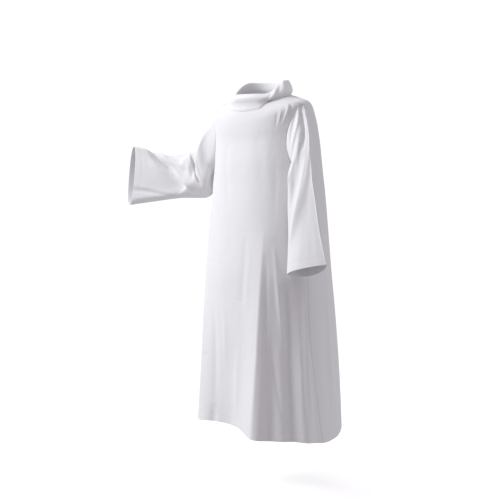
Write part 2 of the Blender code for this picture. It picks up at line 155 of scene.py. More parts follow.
@dataclass(frozen=True)
class HemDip:
    """A place where the hem hangs lower (negative) or higher than the rest."""

    angle: float
    width: float
    rise: float


@dataclass(frozen=True)
class Section:
    """One section of a sleeve: its outer and inner points, half widths, facing and squareness.

    edge is 0 where its outer line is round and 1 where both sides meet there in a sharp fold, and tilt is
    how much higher its front lies than its back.
    """

    along: float
    outer: tuple[float, float, float]
    inner: tuple[float, float, float]
    front: float
    back: float
    facing: float
    power: float
    edge: float
    tilt: float


@dataclass(frozen=True)
class Fold:
    """One deep fold of a sleeve or the cowl, as angles and shares of its length."""

    start_angle: float
    end_angle: float
    start: float
    end: float
    width: float
    depth: float

    def push(self, along: np.ndarray, turn: np.ndarray, fullness: float) -> np.ndarray:
        """How far the fold pushes the cloth out.

        Args:
            along: Shares of the piece's length.
            turn: Angles round it, in degrees.
            fullness: Below 1 where the fold swells fast at its ends.

        Returns:
            The push in metres at each place.
        """
        part = np.clip((along - self.start) / (self.end - self.start), 0.0, 1.0)
        centre = self.start_angle + (self.end_angle - self.start_angle) * part
        return self.depth * np.sin(math.pi * part) ** fullness * bump(turn - centre, self.width)


@dataclass(frozen=True)
class CollarLine:
    """One line of the collar: how far along the cloth, its distances from the middle and heights."""

    turn: float
    r_front: float
    r_side: float
    r_back: float
    z_front: float
    z_back: float


@dataclass(frozen=True)
class Crease:
    """A soft trough (negative depth) or ridge in the cloth, from one place to another.

    Places are (angle, run) or (turn, along).  width is its half width in metres, bow how far its middle
    swings to the right on the way, peak where it is deepest, steep how much wider its right side is than
    its left, and power 2 for a round crest and less for a sharp one.
    """

    start: tuple[float, float]
    end: tuple[float, float]
    width: float
    depth: float
    bow: float
    peak: float
    steep: float
    power: float

    def height(self, angle: np.ndarray, length: np.ndarray, scale: tuple[float, float]) -> np.ndarray:
        """How far the crease lifts the cloth.

        Args:
            angle: Angles or turns of the places, in degrees.
            length: Their runs or shares along.
            scale: Metres for a degree and for a unit of length.

        Returns:
            The lift in metres at each place.
        """
        across = wrapped(angle - self.start[0]) * scale[0]
        up = (length - self.start[1]) * scale[1]
        way_across = wrapped(self.end[0] - self.start[0]) * scale[0]
        way_up = (self.end[1] - self.start[1]) * scale[1]
        reach = math.hypot(way_across, way_up)
        part = (across * way_across + up * way_up) / reach**2
        off = (across * way_up - up * way_across) / reach - self.bow * 4.0 * part * (1.0 - part)
        inside = np.clip(part, 0.0, 1.0)
        strength = np.sin(math.pi * inside ** (math.log(0.5) / math.log(self.peak)))
        width = np.where(off > 0.0, self.width * self.steep, self.width)
        return self.depth * strength**CREASE_FULLNESS * np.exp(-(np.abs(off / width) ** self.power))


@dataclass(frozen=True)
class Relief:
    """A piece's folds and creases.  scale is metres for a degree and for the piece's whole length."""

    folds: tuple[Fold, ...]
    creases: tuple[Crease, ...]
    scale: tuple[float, float] = (0.00112, 0.50)
    fullness: float = 0.8

    def push(self, along: np.ndarray, turn: np.ndarray) -> np.ndarray:
        """How far folds and creases push the cloth out.

        Args:
            along: Shares of the piece's length.
            turn: Angles round it, in degrees.

        Returns:
            The push in metres at each place.
        """
        total = np.zeros(along.shape)
        for fold in self.folds:
            total += fold.push(along, turn, self.fullness)
        for crease in self.creases:
            total += crease.height(turn, along, self.scale)
        return total


def crease_table(*rows: tuple[float, ...]) -> tuple[Crease, ...]:
    """Reads rows of start, end (two numbers each), width, depth, bow, peak, steep and power."""
    return tuple(Crease(row[:2], row[2:4], *row[4:]) for row in rows)


# ---- Mathematics.
def wrapped(degrees: np.ndarray) -> np.ndarray:
    """Brings angles into the range from -180 to 180."""
    return (np.asarray(degrees) + 180.0) % 360.0 - 180.0


def smooth_table(places: list, values: list, at: np.ndarray, lanes: np.ndarray | None = None) -> np.ndarray:
    """Runs a smooth curve without overshoot through a table.

    Args:
        places: Where the table's rows lie.
        values: The rows: numbers, tuples or grids of points.
        at: The places wanted.
        lanes: For each place, the column of a grid to read, or None for the whole row.

    Returns:
        The table's value at each place.
    """
    places = np.asarray(places, dtype=float)
    values = np.asarray(values, dtype=float)
    steps = np.diff(places)
    tall = (-1,) + (1,) * (values.ndim - 1)
    slopes = np.diff(values, axis=0) / steps.reshape(tall)
    tangents = np.empty_like(values)
    tangents[0] = slopes[0]
    tangents[-1] = slopes[-1]
    before = steps[:-1].reshape(tall)
    after = steps[1:].reshape(tall)
    mean = (slopes[:-1] * after + slopes[1:] * before) / (before + after)
    limit = 3.0 * np.minimum(np.abs(slopes[:-1]), np.abs(slopes[1:]))
    tangents[1:-1] = np.where(slopes[:-1] * slopes[1:] > 0.0, np.clip(mean, -limit, limit), 0.0)
    at = np.clip(np.asarray(at, dtype=float), places[0], places[-1])
    k = np.clip(np.searchsorted(places, at, side="right") - 1, 0, len(steps) - 1)
    t = (at - places[k]) / steps[k]
    low = (k,) if lanes is None else (k, lanes)
    high = (k + 1,) if lanes is None else (k + 1, lanes)
    extra = (1,) * (values[low].ndim - t.ndim)
    size = steps[k].reshape(t.shape + extra)
    t = t.reshape(t.shape + extra)
    rise = t * t * (3.0 - 2.0 * t)
    leave = t * (1.0 - t) ** 2 * size
    arrive = t * t * (t - 1.0) * size
    return values[low] * (1.0 - rise) + values[high] * rise + tangents[low] * leave + tangents[high] * arrive


def smooth_step(t: np.ndarray) -> np.ndarray:
    """Rises from 0 to 1 with level ends."""
    t = np.clip(t, 0.0, 1.0)
    return t * t * (3.0 - 2.0 * t)


def bump(difference: np.ndarray, width: np.ndarray) -> np.ndarray:
    """A soft hump of height 1 for an angle's difference in degrees."""
    return np.exp(-((wrapped(difference) / width) ** 2))


def signed_power(value: np.ndarray, power: np.ndarray) -> np.ndarray:
    """Raises sizes to a power and keeps their signs."""
    return np.sign(value) * np.abs(value) ** power


def round_value(front: np.ndarray, side: np.ndarray, back: np.ndarray, angle: np.ndarray) -> np.ndarray:
    """A value that varies smoothly round the neck or the body.

    Args:
        front: The value at the front.
        side: The value at both sides.
        back: The value at the back.
        angle: The angles wanted, in degrees.

    Returns:
        The value at each angle.
    """
    mean = (front + back + 2.0 * side) / 4.0
    even = (front + back - 2.0 * side) / 4.0
    odd = (front - back) / 2.0
    a = np.radians(angle)
    return mean + odd * np.cos(a) + even * np.cos(2.0 * a)


def unit(vectors: np.ndarray) -> np.ndarray:
    """Vectors brought to length 1."""
    return vectors / np.maximum(np.linalg.norm(vectors, axis=-1, keepdims=True), TINY)


def grid_normals(points: np.ndarray, closed: bool, sign: float) -> np.ndarray:
    """Outward directions of a grid of points.

    Args:
        points: Rows of points.
        closed: Whether each row closes on itself.
        sign: 1 or -1, which side is outward.

    Returns:
        A unit vector for each point.
    """
    if closed:
        round_way = np.roll(points, -1, axis=1) - np.roll(points, 1, axis=1)
    else:
        round_way = np.gradient(points, axis=1)
    return unit(np.cross(round_way, np.gradient(points, axis=0))) * sign


def closed_line(points: np.ndarray) -> np.ndarray:
    """A line's points with its first one again at the end."""
    return np.concatenate([points, points[:1]])


def line_lengths(points: np.ndarray) -> np.ndarray:
    """How far along a line each of its points lies."""
    return np.concatenate([[0.0], np.cumsum(np.linalg.norm(np.diff(points, axis=0), axis=1))])


def read_line(at: np.ndarray, lengths: np.ndarray, values: np.ndarray) -> np.ndarray:
    """A line's points or directions at the lengths wanted."""
    return np.stack([np.interp(at, lengths, values[:, k]) for k in range(3)], axis=-1)


def round_columns(seam: float, count: int, gaps: tuple[float, float]) -> np.ndarray:
    """Angles once round a tube, closer beside its seam.

    Args:
        seam: The seam's angle, in degrees.
        count: How many even steps the round has.
        gaps: How far from the seam its extra columns lie.

    Returns:
        The columns' angles.
    """
    even = np.linspace(0.0, 360.0, count + 1)[1:-1]
    return seam + np.concatenate([[0.0, *gaps], even, [360.0 - gaps[1], 360.0 - gaps[0]]])


def edge_steps(turned: float, body: float) -> np.ndarray:
    """Distances from a free edge for the rows near it.

    Args:
        turned: The width of the turned-up hem.
        body: Where the rows near the edge end.

    Returns:
        The distances, from the edge inwards.
    """
    hem = [turned + step for step in HEM_STEPS]
    return np.array([*EDGE_STEPS, *hem, *np.arange(turned + EVEN_ROWS_START, body, EVEN_ROW), body])


# ---- Tables: the body, both sleeves and the cowl.
BODY_RINGS = (
    Ring(0.000, -1.200, -1.215, -1.230, 0.015, 0.290, 0.235, 0.240, 0.040, 2.10),
    Ring(0.200, -1.006, -1.016, -1.026, 0.009, 0.272, 0.221, 0.231, 0.040, 2.15),
    Ring(0.425, -0.787, -0.790, -0.796, 0.004, 0.254, 0.207, 0.217, 0.037, 2.20),
    Ring(0.715, -0.500, -0.500, -0.500, 0.000, 0.232, 0.184, 0.189, 0.033, 2.30),
    Ring(0.870, -0.345, -0.345, -0.345, 0.000, 0.217, 0.170, 0.174, 0.033, 2.40),
    Ring(0.975, -0.240, -0.240, -0.240, 0.000, 0.209, 0.158, 0.162, 0.029, 2.45),
    Ring(1.075, -0.163, -0.139, -0.145, 0.001, 0.205, 0.143, 0.148, 0.023, 2.50),
    Ring(1.145, -0.119, -0.070, -0.084, 0.003, 0.203, 0.137, 0.133, 0.016, 2.45),
    Ring(1.185, -0.090, -0.028, -0.040, 0.004, 0.195, 0.130, 0.121, 0.010, 2.35),
    Ring(1.240, -0.056, -0.009, -0.006, 0.003, 0.147, 0.117, 0.104, 0.005, 2.15),
    Ring(1.300, -0.029, 0.003, 0.012, 0.000, 0.091, 0.088, 0.082, 0.003, 2.00),
)
BODY_FOLDS = (
    BodyFold(-6.0, 2.0, 24.0, 28.0, -0.054, 0.64, 1.4),
    BodyFold(26.0, 33.0, 9.0, 12.0, 0.030, 0.86, 0.9),
    BodyFold(39.0, 40.0, 7.0, 7.0, -0.012, 0.62, 0.9),
    BodyFold(59.0, 55.0, 8.5, 8.0, -0.018, 0.66, 0.9),
    BodyFold(70.0, 66.5, 7.0, 7.0, 0.010, 0.58, 0.8),
    BodyFold(80.0, 76.0, 8.0, 7.5, -0.007, 0.55, 0.9),
    BodyFold(98.0, 94.0, 9.0, 7.0, -0.006, 0.60, 0.9),
    BodyFold(122.0, 118.0, 14.0, 12.0, -0.003, 0.75, 0.9),
    BodyFold(146.0, 150.0, 10.0, 8.0, -0.014, 0.84, 0.9),
    BodyFold(166.0, 168.0, 8.0, 7.0, 0.014, 0.72, 0.8),
    BodyFold(187.0, 183.0, 9.0, 7.0, -0.015, 0.80, 0.9),
    BodyFold(209.0, 205.0, 9.0, 8.0, 0.015, 0.76, 0.9),
    BodyFold(232.0, 228.0, 10.0, 8.0, -0.013, 0.70, 0.9),
    BodyFold(255.0, 252.0, 9.0, 7.0, 0.010, 0.62, 0.8),
    BodyFold(277.0, 280.0, 8.0, 7.0, -0.012, 0.66, 0.9),
    BodyFold(297.0, 299.0, 8.0, 7.0, 0.010, 0.60, 0.8),
    BodyFold(326.0, 322.0, 10.0, 9.0, 0.014, 0.78, 0.9),
    BodyFold(314.0, 314.0, 18.0, 18.0, 0.005, 0.92, 0.2),
)
HEM_DIPS = (
    HemDip(-48.0, 16.0, -0.012),
    HemDip(22.0, 9.0, -0.008),
    HemDip(36.0, 13.0, -0.014),
    HemDip(58.0, 16.0, -0.010),
    HemDip(88.0, 18.0, -0.014),
    HemDip(126.0, 15.0, 0.018),
)
# The side seam: its run and its angle.
SIDE_SEAM = (
    (0.000, 86.0),
    (0.180, 81.0),
    (0.400, 77.5),
    (0.560, 78.5),
    (0.720, 83.0),
    (0.915, 90.0),
)
BODY_CREASES = crease_table(
    # The main ridge's crest and the valleys and ridges beside it.
    (24.0, -0.05, 32.5, 0.76, 0.01, 0.0045, 0.0, 0.35, 0.7, 1.5),
    (34.0, 0.06, 35.5, 0.66, 0.01, -0.004, 0.002, 0.6, 1.2, 1.7),
    (52.0, 0.28, 43.0, 0.68, 0.01, 0.0058, 0.002, 0.55, 1.0, 1.6),
    (53.0, 0.02, 39.0, 0.36, 0.007, -0.003, -0.008, 0.5, 1.6, 1.6),
    (57.5, -0.04, 55.0, 0.64, 0.015, -0.004, 0.0, 0.45, 0.9, 1.8),
    (67.0, -0.04, 68.5, 0.5, 0.009, 0.0022, -0.004, 0.45, 0.9, 1.6),
    (70.5, 0.05, 75.0, 0.54, 0.009, -0.004, 0.0, 0.5, 1.2, 1.7),
    (76.5, 0.0, 73.0, 0.4, 0.008, 0.002, 0.0, 0.5, 1.0, 1.8),
    # The broad front: soft shallow folds and the marks of packing.
    (9.0, 0.38, 14.0, 0.74, 0.01, -0.0016, 0.004, 0.55, 1.3, 1.8),
    (14.5, 0.42, 19.0, 0.72, 0.012, 0.001, 0.003, 0.5, 1.0, 2.0),
    (-21.0, 0.02, -20.5, 0.46, 0.011, -0.0032, 0.003, 0.5, 1.2, 1.9),
    (-7.5, 0.2, -7.0, 0.44, 0.01, 0.0022, 0.0, 0.5, 1.0, 2.0),
    (-22.5, -0.02, -22.0, 0.07, 0.012, -0.005, 0.0, 0.35, 1.0, 2.0),
    (2.0, 0.476, 13.5, 0.48, 0.003, -0.0011, 0.001, 0.5, 1.0, 1.8),
    (7.5, 0.73, 15.5, 0.728, 0.003, -0.001, 0.0, 0.5, 1.0, 1.8),
    (-30.0, 0.612, -12.0, 0.606, 0.003, -0.0008, 0.001, 0.5, 1.0, 1.8),
    (-38.0, 0.25, -24.0, 0.256, 0.003, -0.0008, 0.0, 0.5, 1.0, 1.8),
    (4.0, 0.04, 6.0, 0.3, 0.012, 0.0028, -0.004, 0.4, 1.2, 1.9),
    # The yoke and chest, below the cowl.
    (-14.0, 1.06, -4.0, 0.8, 0.016, -0.002, 0.008, 0.4, 1.0, 2.0),
    (20.0, 1.1, 30.0, 0.86, 0.018, -0.001, -0.006, 0.4, 1.2, 2.0),
    (34.0, 1.1, 38.0, 0.84, 0.016, 0.0006, 0.004, 0.45, 1.0, 2.0),
    (47.0, 1.02, 44.0, 0.76, 0.014, -0.0012, 0.003, 0.5, 1.0, 2.0),
    # The gathers at the near shoulder.
    (70.5, 1.205, 54.5, 1.13, 0.006, 0.004, 0.002, 0.4, 1.0, 1.7),
    (74.5, 1.2, 62.5, 1.15, 0.005, -0.004, 0.001, 0.45, 1.0, 1.7),
    (56.0, 1.19, 49.0, 1.14, 0.005, 0.0022, 0.001, 0.45, 1.0, 1.8),
    (50.0, 1.19, 44.0, 1.12, 0.006, -0.0018, 0.002, 0.45, 1.0, 1.8),
    (64.0, 1.13, 58.0, 1.04, 0.007, -0.0022, 0.002, 0.45, 1.0, 1.8),
    # The far shoulder and the pull of the raised arm.
    (-70.0, 1.2, -56.0, 1.12, 0.006, 0.003, -0.002, 0.4, 1.0, 1.8),
    (-74.0, 1.195, -62.0, 1.13, 0.005, -0.003, -0.001, 0.45, 1.0, 1.8),
    (-60.0, 1.02, -38.0, 0.93, 0.01, -0.0026, 0.004, 0.35, 1.2, 1.9),
    (-62.0, 0.96, -40.0, 0.84, 0.011, 0.0026, 0.004, 0.35, 1.0, 1.9),
    (-60.0, 0.9, -44.0, 0.76, 0.01, -0.0022, 0.003, 0.4, 1.0, 1.9),
    # The wearer's right side and the back.
    (-36.0, -0.04, -38.0, 0.6, 0.011, 0.0038, 0.003, 0.4, 1.0, 1.8),
    (-57.0, -0.04, -58.0, 0.55, 0.01, -0.0042, -0.003, 0.45, 1.2, 1.7),
    (-70.0, -0.04, -67.0, 0.5, 0.01, 0.0038, 0.004, 0.4, 1.0, 1.7),
    (-86.0, -0.04, -84.0, 0.62, 0.012, -0.0046, 0.003, 0.45, 1.0, 1.7),
    (101.0, 0.05, 103.0, 0.62, 0.013, 0.003, 0.003, 0.5, 1.0, 1.9),
    (112.0, -0.04, 110.0, 0.44, 0.01, -0.003, 0.003, 0.45, 1.0, 1.8),
    (132.0, -0.04, 134.0, 0.6, 0.012, 0.004, -0.004, 0.4, 1.0, 1.8),
    (146.0, -0.04, 149.0, 0.8, 0.012, -0.0046, 0.004, 0.45, 1.1, 1.7),
    (157.0, 0.1, 156.0, 0.9, 0.011, 0.0034, 0.003, 0.45, 1.0, 1.8),
    (166.0, -0.04, 167.0, 0.7, 0.01, 0.0044, -0.003, 0.4, 1.0, 1.6),
    (176.0, 0.16, 175.0, 0.98, 0.011, -0.0036, 0.004, 0.5, 1.0, 1.8),
    (187.0, -0.04, 183.0, 0.78, 0.011, -0.0042, -0.003, 0.4, 1.2, 1.7),
    (196.0, 0.06, 194.0, 0.66, 0.01, 0.0032, 0.003, 0.5, 1.0, 1.8),
    (209.0, -0.04, 205.0, 0.74, 0.011, 0.0044, 0.004, 0.4, 1.0, 1.6),
    (221.0, 0.1, 218.0, 0.94, 0.012, -0.0036, -0.004, 0.5, 1.0, 1.8),
    (232.0, -0.04, 228.0, 0.66, 0.011, -0.004, 0.003, 0.4, 1.1, 1.7),
    (243.0, 0.04, 240.0, 0.52, 0.01, 0.0034, 0.003, 0.45, 1.0, 1.7),
    (256.0, -0.04, 253.0, 0.6, 0.011, 0.0036, -0.003, 0.4, 1.0, 1.7),
    (266.0, 0.08, 264.0, 0.7, 0.01, -0.003, 0.003, 0.5, 1.0, 1.8),
    # Soft drag lines between the shoulder blades and at the back of the arms.
    (140.0, 1.12, 158.0, 0.9, 0.014, -0.0034, 0.006, 0.45, 1.2, 1.9),
    (150.0, 1.16, 170.0, 0.98, 0.013, 0.0028, 0.004, 0.45, 1.0, 1.9),
    (218.0, 1.12, 200.0, 0.92, 0.014, -0.0032, -0.006, 0.45, 1.2, 1.9),
    (228.0, 1.08, 212.0, 0.84, 0.013, 0.0028, -0.004, 0.45, 1.0, 1.9),
    (122.0, 1.0, 138.0, 0.78, 0.012, -0.003, 0.004, 0.4, 1.0, 1.9),
    (236.0, 0.96, 222.0, 0.76, 0.012, -0.003, -0.003, 0.4, 1.0, 1.9),
)
LEFT_SECTIONS = (
    Section(0.13, (0.252, -0.030, -0.103), (0.226, -0.020, -0.290), 0.062, 0.034, 0.0, 2.2, 0.4, 0.0),
    Section(0.30, (0.302, -0.066, -0.200), (0.213, -0.050, -0.334), 0.050, 0.044, 0.0, 2.1, 1.0, 0.0),
    Section(0.52, (0.346, -0.093, -0.335), (0.207, -0.058, -0.390), 0.034, 0.046, 0.0, 2.1, 1.0, 0.1),
    Section(0.76, (0.373, -0.094, -0.466), (0.216, -0.066, -0.503), 0.034, 0.050, 0.0, 2.1, 1.0, 0.2),
    Section(1.00, (0.404, -0.090, -0.588), (0.221, -0.074, -0.642), 0.048, 0.058, 0.0, 2.1, 1.0, 0.2),
)
LEFT_FOLDS = (
    Fold(4.0, 46.0, 0.02, 0.26, 12.0, -0.006),
    Fold(24.0, 88.0, 0.02, 0.26, 12.0, 0.002),
    Fold(-2.0, 140.0, 0.18, 0.88, 14.0, 0.006),
    Fold(46.0, 112.0, 0.14, 0.60, 13.0, -0.005),
    Fold(-24.0, -40.0, 0.10, 0.46, 14.0, -0.004),
    Fold(-70.0, -96.0, 0.20, 0.90, 16.0, -0.005),
    Fold(200.0, 190.0, 0.40, 1.02, 18.0, -0.005),
    Fold(236.0, 226.0, 0.35, 0.98, 16.0, 0.006),
)
LEFT_CREASES = crease_table(
    # The gathers that fan out from the shoulder.
    (24.0, 0.04, 98.0, 0.084, 0.0042, -0.008, 0.0, 0.45, 1.0, 1.7),
    (14.0, 0.045, 118.0, 0.09, 0.0045, 0.006, -0.022, 0.5, 1.0, 1.5),
    (2.0, 0.015, 48.0, 0.255, 0.0055, -0.006, -0.004, 0.42, 2.4, 1.7),
    (-6.0, 0.03, 14.0, 0.32, 0.005, 0.004, 0.0, 0.5, 1.0, 1.5),
    (112.0, 0.02, 118.0, 0.34, 0.009, 0.005, 0.0, 0.55, 1.0, 1.8),
    # The long ridge that falls to the cuff, the hollow beside it and the crisp outer edge.
    (34.0, 0.26, 118.0, 0.82, 0.0085, 0.0056, 0.004, 0.42, 1.1, 1.5),
    (78.0, 0.18, 112.0, 0.62, 0.01, -0.0034, 0.0, 0.45, 1.1, 1.9),
    (40.0, 0.46, 74.0, 0.84, 0.011, -0.0014, 0.003, 0.5, 1.1, 1.9),
    (52.0, 0.66, 60.0, 1.02, 0.011, -0.0012, 0.0, 0.6, 1.1, 1.9),
    (84.0, 0.74, 92.0, 1.02, 0.01, 0.0012, 0.0, 0.55, 1.0, 1.9),
    (13.0, 0.22, 12.0, 1.06, 0.007, 0.003, 0.0, 0.5, 1.0, 1.5),
    # The hidden sides.
    (-40.0, 0.1, -62.0, 0.48, 0.008, 0.0034, 0.004, 0.45, 1.0, 1.7),
    (-60.0, 0.06, -92.0, 0.4, 0.008, -0.0034, 0.003, 0.45, 1.0, 1.7),
    (-82.0, 0.24, -112.0, 0.74, 0.009, 0.0036, 0.004, 0.45, 1.0, 1.8),
    (-44.0, 0.52, -66.0, 0.98, 0.01, -0.003, 0.004, 0.5, 1.1, 1.8),
    (-104.0, 0.52, -128.0, 1.0, 0.01, -0.003, 0.003, 0.5, 1.0, 1.8),
    (150.0, 0.4, 154.0, 0.98, 0.01, 0.0026, 0.003, 0.5, 1.0, 1.8),
)
RIGHT_SECTIONS = (
    Section(0.13, (-0.240, -0.010, -0.086), (-0.227, -0.004, -0.298), 0.066, 0.050, 8.0, 2.2, 0.0, 0.0),
    Section(0.34, (-0.302, -0.024, -0.150), (-0.236, -0.024, -0.350), 0.074, 0.062, 20.0, 2.2, 0.0, 0.0),
    Section(0.52, (-0.361, -0.042, -0.212), (-0.267, -0.054, -0.376), 0.066, 0.062, 36.0, 2.2, 0.0, 0.0),
    Section(0.70, (-0.413, -0.088, -0.214), (-0.349, -0.092, -0.379), 0.054, 0.054, 42.0, 2.2, 0.0, 0.0),
    Section(0.86, (-0.472, -0.143, -0.189), (-0.442, -0.145, -0.392), 0.040, 0.042, 48.0, 2.3, 0.0, 0.0),
    Section(1.00, (-0.517, -0.184, -0.178), (-0.522, -0.204, -0.405), 0.030, 0.034, 70.0, 2.3, 0.0, 0.0),
)
RIGHT_FOLDS = (
    Fold(16.0, 44.0, 0.03, 0.36, 13.0, -0.006),
    Fold(40.0, 74.0, 0.03, 0.40, 13.0, 0.006),
    Fold(-18.0, -22.0, 0.03, 0.36, 13.0, 0.006),
    Fold(60.0, 116.0, 0.36, 0.60, 13.0, -0.013),
    Fold(30.0, 78.0, 0.38, 0.66, 13.0, 0.006),
    Fold(104.0, 26.0, 0.50, 0.98, 14.0, -0.010),
    Fold(134.0, 66.0, 0.50, 0.88, 14.0, 0.007),
    Fold(146.0, 138.0, 0.60, 1.04, 14.0, 0.008),
    Fold(196.0, 190.0, 0.30, 0.98, 16.0, -0.005),
    Fold(250.0, 300.0, 0.42, 0.90, 17.0, 0.008),
    Fold(282.0, 250.0, 0.40, 0.76, 14.0, -0.008),
)
RIGHT_CREASES = crease_table(
    # The deep crease inside the bent elbow and the full cloth on both sides of it.
    (47.0, 0.433, 125.0, 0.44, 0.005, -0.03, -0.016, 0.6, 1.0, 2.2),
    (62.0, 0.385, 122.0, 0.375, 0.012, 0.004, -0.004, 0.55, 1.0, 1.8),
    (84.0, 0.476, 132.0, 0.625, 0.017, 0.0095, 0.0, 0.55, 1.0, 2.0),
    (56.0, 0.51, 104.0, 0.535, 0.008, 0.0022, 0.0, 0.5, 1.0, 1.8),
    # The long trough from elbow to cuff, its crisp edge by the cuff and the ridge beside it.
    (128.0, 0.622, -38.0, 0.846, 0.0078, -0.025, 0.016, 0.34, 3.9, 1.5),
    (134.0, 0.596, -20.0, 0.935, 0.0045, 0.0036, 0.027, 0.5, 3.5, 1.3),
    (132.0, 0.56, 12.0, 0.79, 0.0085, 0.006, 0.008, 0.5, 1.0, 1.7),
    (64.0, 0.575, 4.0, 0.738, 0.006, -0.005, 0.0, 0.5, 1.2, 1.7),
    (94.0, 0.555, 64.0, 0.64, 0.008, -0.0034, 0.0, 0.5, 1.0, 1.8),
    # The near layer's folded lower edge.
    (104.0, 1.06, 154.0, 0.69, 0.0032, 0.0034, 0.01, 0.4, 2.4, 1.6),
    (113.0, 1.06, 164.0, 0.68, 0.0042, -0.0036, 0.01, 0.4, 2.2, 1.7),
    # The upper arm and the top of the sleeve.
    (124.0, 0.02, 128.0, 0.44, 0.022, 0.013, 0.0, 0.55, 1.0, 2.0),
    (14.0, 0.03, 44.0, 0.26, 0.008, -0.003, 0.004, 0.45, 1.0, 1.8),
    (-20.0, 0.1, -14.0, 0.44, 0.009, 0.003, 0.002, 0.45, 1.0, 1.9),
    (2.0, 0.48, -6.0, 0.8, 0.009, -0.003, 0.003, 0.45, 1.0, 1.9),
    (-24.0, 0.66, -20.0, 0.98, 0.008, 0.0026, 0.0, 0.55, 1.0, 1.9),
    (150.0, 0.36, 168.0, 0.52, 0.008, -0.0036, 0.002, 0.5, 1.0, 1.8),
    # The hidden sides.
    (-50.0, 0.1, -78.0, 0.46, 0.009, -0.0034, 0.004, 0.45, 1.0, 1.8),
    (-84.0, 0.14, -110.0, 0.5, 0.009, 0.0034, 0.003, 0.45, 1.0, 1.8),
    (-58.0, 0.5, -112.0, 0.74, 0.008, -0.004, 0.005, 0.45, 1.0, 1.7),
    (-44.0, 0.6, -96.0, 0.9, 0.008, 0.0038, 0.005, 0.5, 1.0, 1.7),
    (-120.0, 0.56, -132.0, 0.98, 0.008, -0.003, 0.003, 0.5, 1.0, 1.8),
)
COLLAR_LINES = (
    CollarLine(0.18, 0.0880, 0.0885, 0.0830, -0.0125, 0.0300),
    CollarLine(0.36, 0.0905, 0.0900, 0.0885, -0.0005, 0.0490),
    CollarLine(0.43, 0.0930, 0.0920, 0.0915, 0.0030, 0.0550),
    CollarLine(0.49, 0.0975, 0.0955, 0.0955, 0.0060, 0.0575),
    CollarLine(0.56, 0.1060, 0.1025, 0.1005, 0.0030, 0.0520),
    CollarLine(0.72, 0.1260, 0.1135, 0.1095, -0.0120, 0.0290),
)
COLLAR_FOLDS = (
    Fold(62.0, 62.0, 0.50, 0.95, 8.0, 0.0020),
    Fold(76.0, 76.0, 0.50, 0.92, 6.0, -0.0022),
    Fold(90.0, 90.0, 0.50, 0.96, 7.0, 0.0024),
    Fold(106.0, 106.0, 0.50, 0.94, 6.0, -0.0022),
    Fold(262.0, 262.0, 0.50, 0.94, 7.0, -0.0022),
    Fold(282.0, 282.0, 0.50, 0.95, 8.0, 0.0022),
    Fold(6.0, 6.0, 0.76, 0.95, 34.0, -0.0042),
)
COLLAR_CREASES = crease_table(
    # Wrinkles across the side, from the rim down and forwards.
    (66.0, 0.5, 40.0, 0.92, 0.0036, -0.0026, 0.003, 0.5, 1.0, 1.7),
    (78.0, 0.44, 48.0, 0.95, 0.0036, 0.0026, 0.003, 0.5, 1.0, 1.7),
    (89.0, 0.42, 60.0, 0.96, 0.0036, -0.0032, 0.002, 0.5, 1.0, 1.7),
    (99.0, 0.42, 72.0, 0.96, 0.0036, 0.003, 0.002, 0.5, 1.0, 1.8),
    (110.0, 0.42, 86.0, 0.94, 0.0038, -0.003, 0.002, 0.5, 1.0, 1.8),
    (120.0, 0.38, 102.0, 0.97, 0.009, 0.0055, 0.0, 0.5, 1.0, 1.6),
    (140.0, 0.5, 132.0, 0.95, 0.006, 0.0018, 0.0, 0.5, 1.0, 1.8),
    (160.0, 0.52, 156.0, 0.96, 0.006, -0.0018, 0.002, 0.5, 1.0, 1.8),
    (186.0, 0.5, 190.0, 0.95, 0.006, 0.0016, 0.002, 0.5, 1.0, 1.8),
    (214.0, 0.52, 222.0, 0.96, 0.006, -0.0018, 0.0, 0.5, 1.0, 1.8),
    (240.0, 0.5, 252.0, 0.95, 0.005, 0.0018, 0.002, 0.5, 1.0, 1.8),
    (270.0, 0.5, 288.0, 0.95, 0.005, -0.0018, 0.002, 0.5, 1.0, 1.8),
    (300.0, 0.52, 322.0, 0.93, 0.006, 0.0016, 0.002, 0.5, 1.0, 1.8),
    # The line where the roll in front meets the layer below it.
    (-52.0, 0.745, 50.0, 0.745, 0.004, -0.0014, 0.0, 0.5, 1.0, 1.8),
)


# ---- Finishes.
def add_node(tree: NodeTree, kind: str, sockets: dict, settings: dict | None = None) -> Node:
    """Adds a node to a material or a world.

    Args:
        tree: The nodes it joins.
        kind: The node's type.
        sockets: What each input gets: a number, a colour or another node's output.
        settings: The node's own choices.

    Returns:
        The node.
    """
    node = tree.nodes.new(kind)
    for name, value in (settings or {}).items():
        setattr(node, name, value)
    fill_node(tree, node, sockets)
    return node


def fill_node(tree: NodeTree, node: Node, sockets: dict) -> None:
    """Gives a node's inputs their numbers, colours and links.

    Args:
        tree: The nodes it is among.
        node: The node.
        sockets: What each input gets.
    """
    for name, value in sockets.items():
        if isinstance(value, NodeSocket):
            tree.links.new(value, node.inputs[name])
        else:
            node.inputs[name].default_value = value


def new_material(name: str, sockets: dict) -> tuple[Material, NodeTree, Node]:
    """Starts a material.

    Args:
        name: The material's name.
        sockets: The numbers and colours of its surface.

    Returns:
        The material, its nodes and the node of its surface.
    """
    material = bpy.data.materials.new(name)
    material.use_nodes = True
    shader = material.node_tree.nodes["Principled BSDF"]
    fill_node(material.node_tree, shader, sockets)
    return material, material.node_tree, shader


def mixed_tone(tree: NodeTree, factor: NodeSocket, dark: tuple, light: tuple) -> NodeSocket:
    """A colour that wanders between two tones.

    Args:
        tree: The material's nodes.
        factor: How much of the light tone there is, from 0 to 1.
        dark: The darker tone.
        light: The lighter tone.

    Returns:
        The colour.
    """
    sockets = {"A": (*dark, 1.0), "B": (*light, 1.0), "Factor": factor}
    return add_node(tree, "ShaderNodeMix", sockets, {"data_type": "RGBA"}).outputs["Result"]


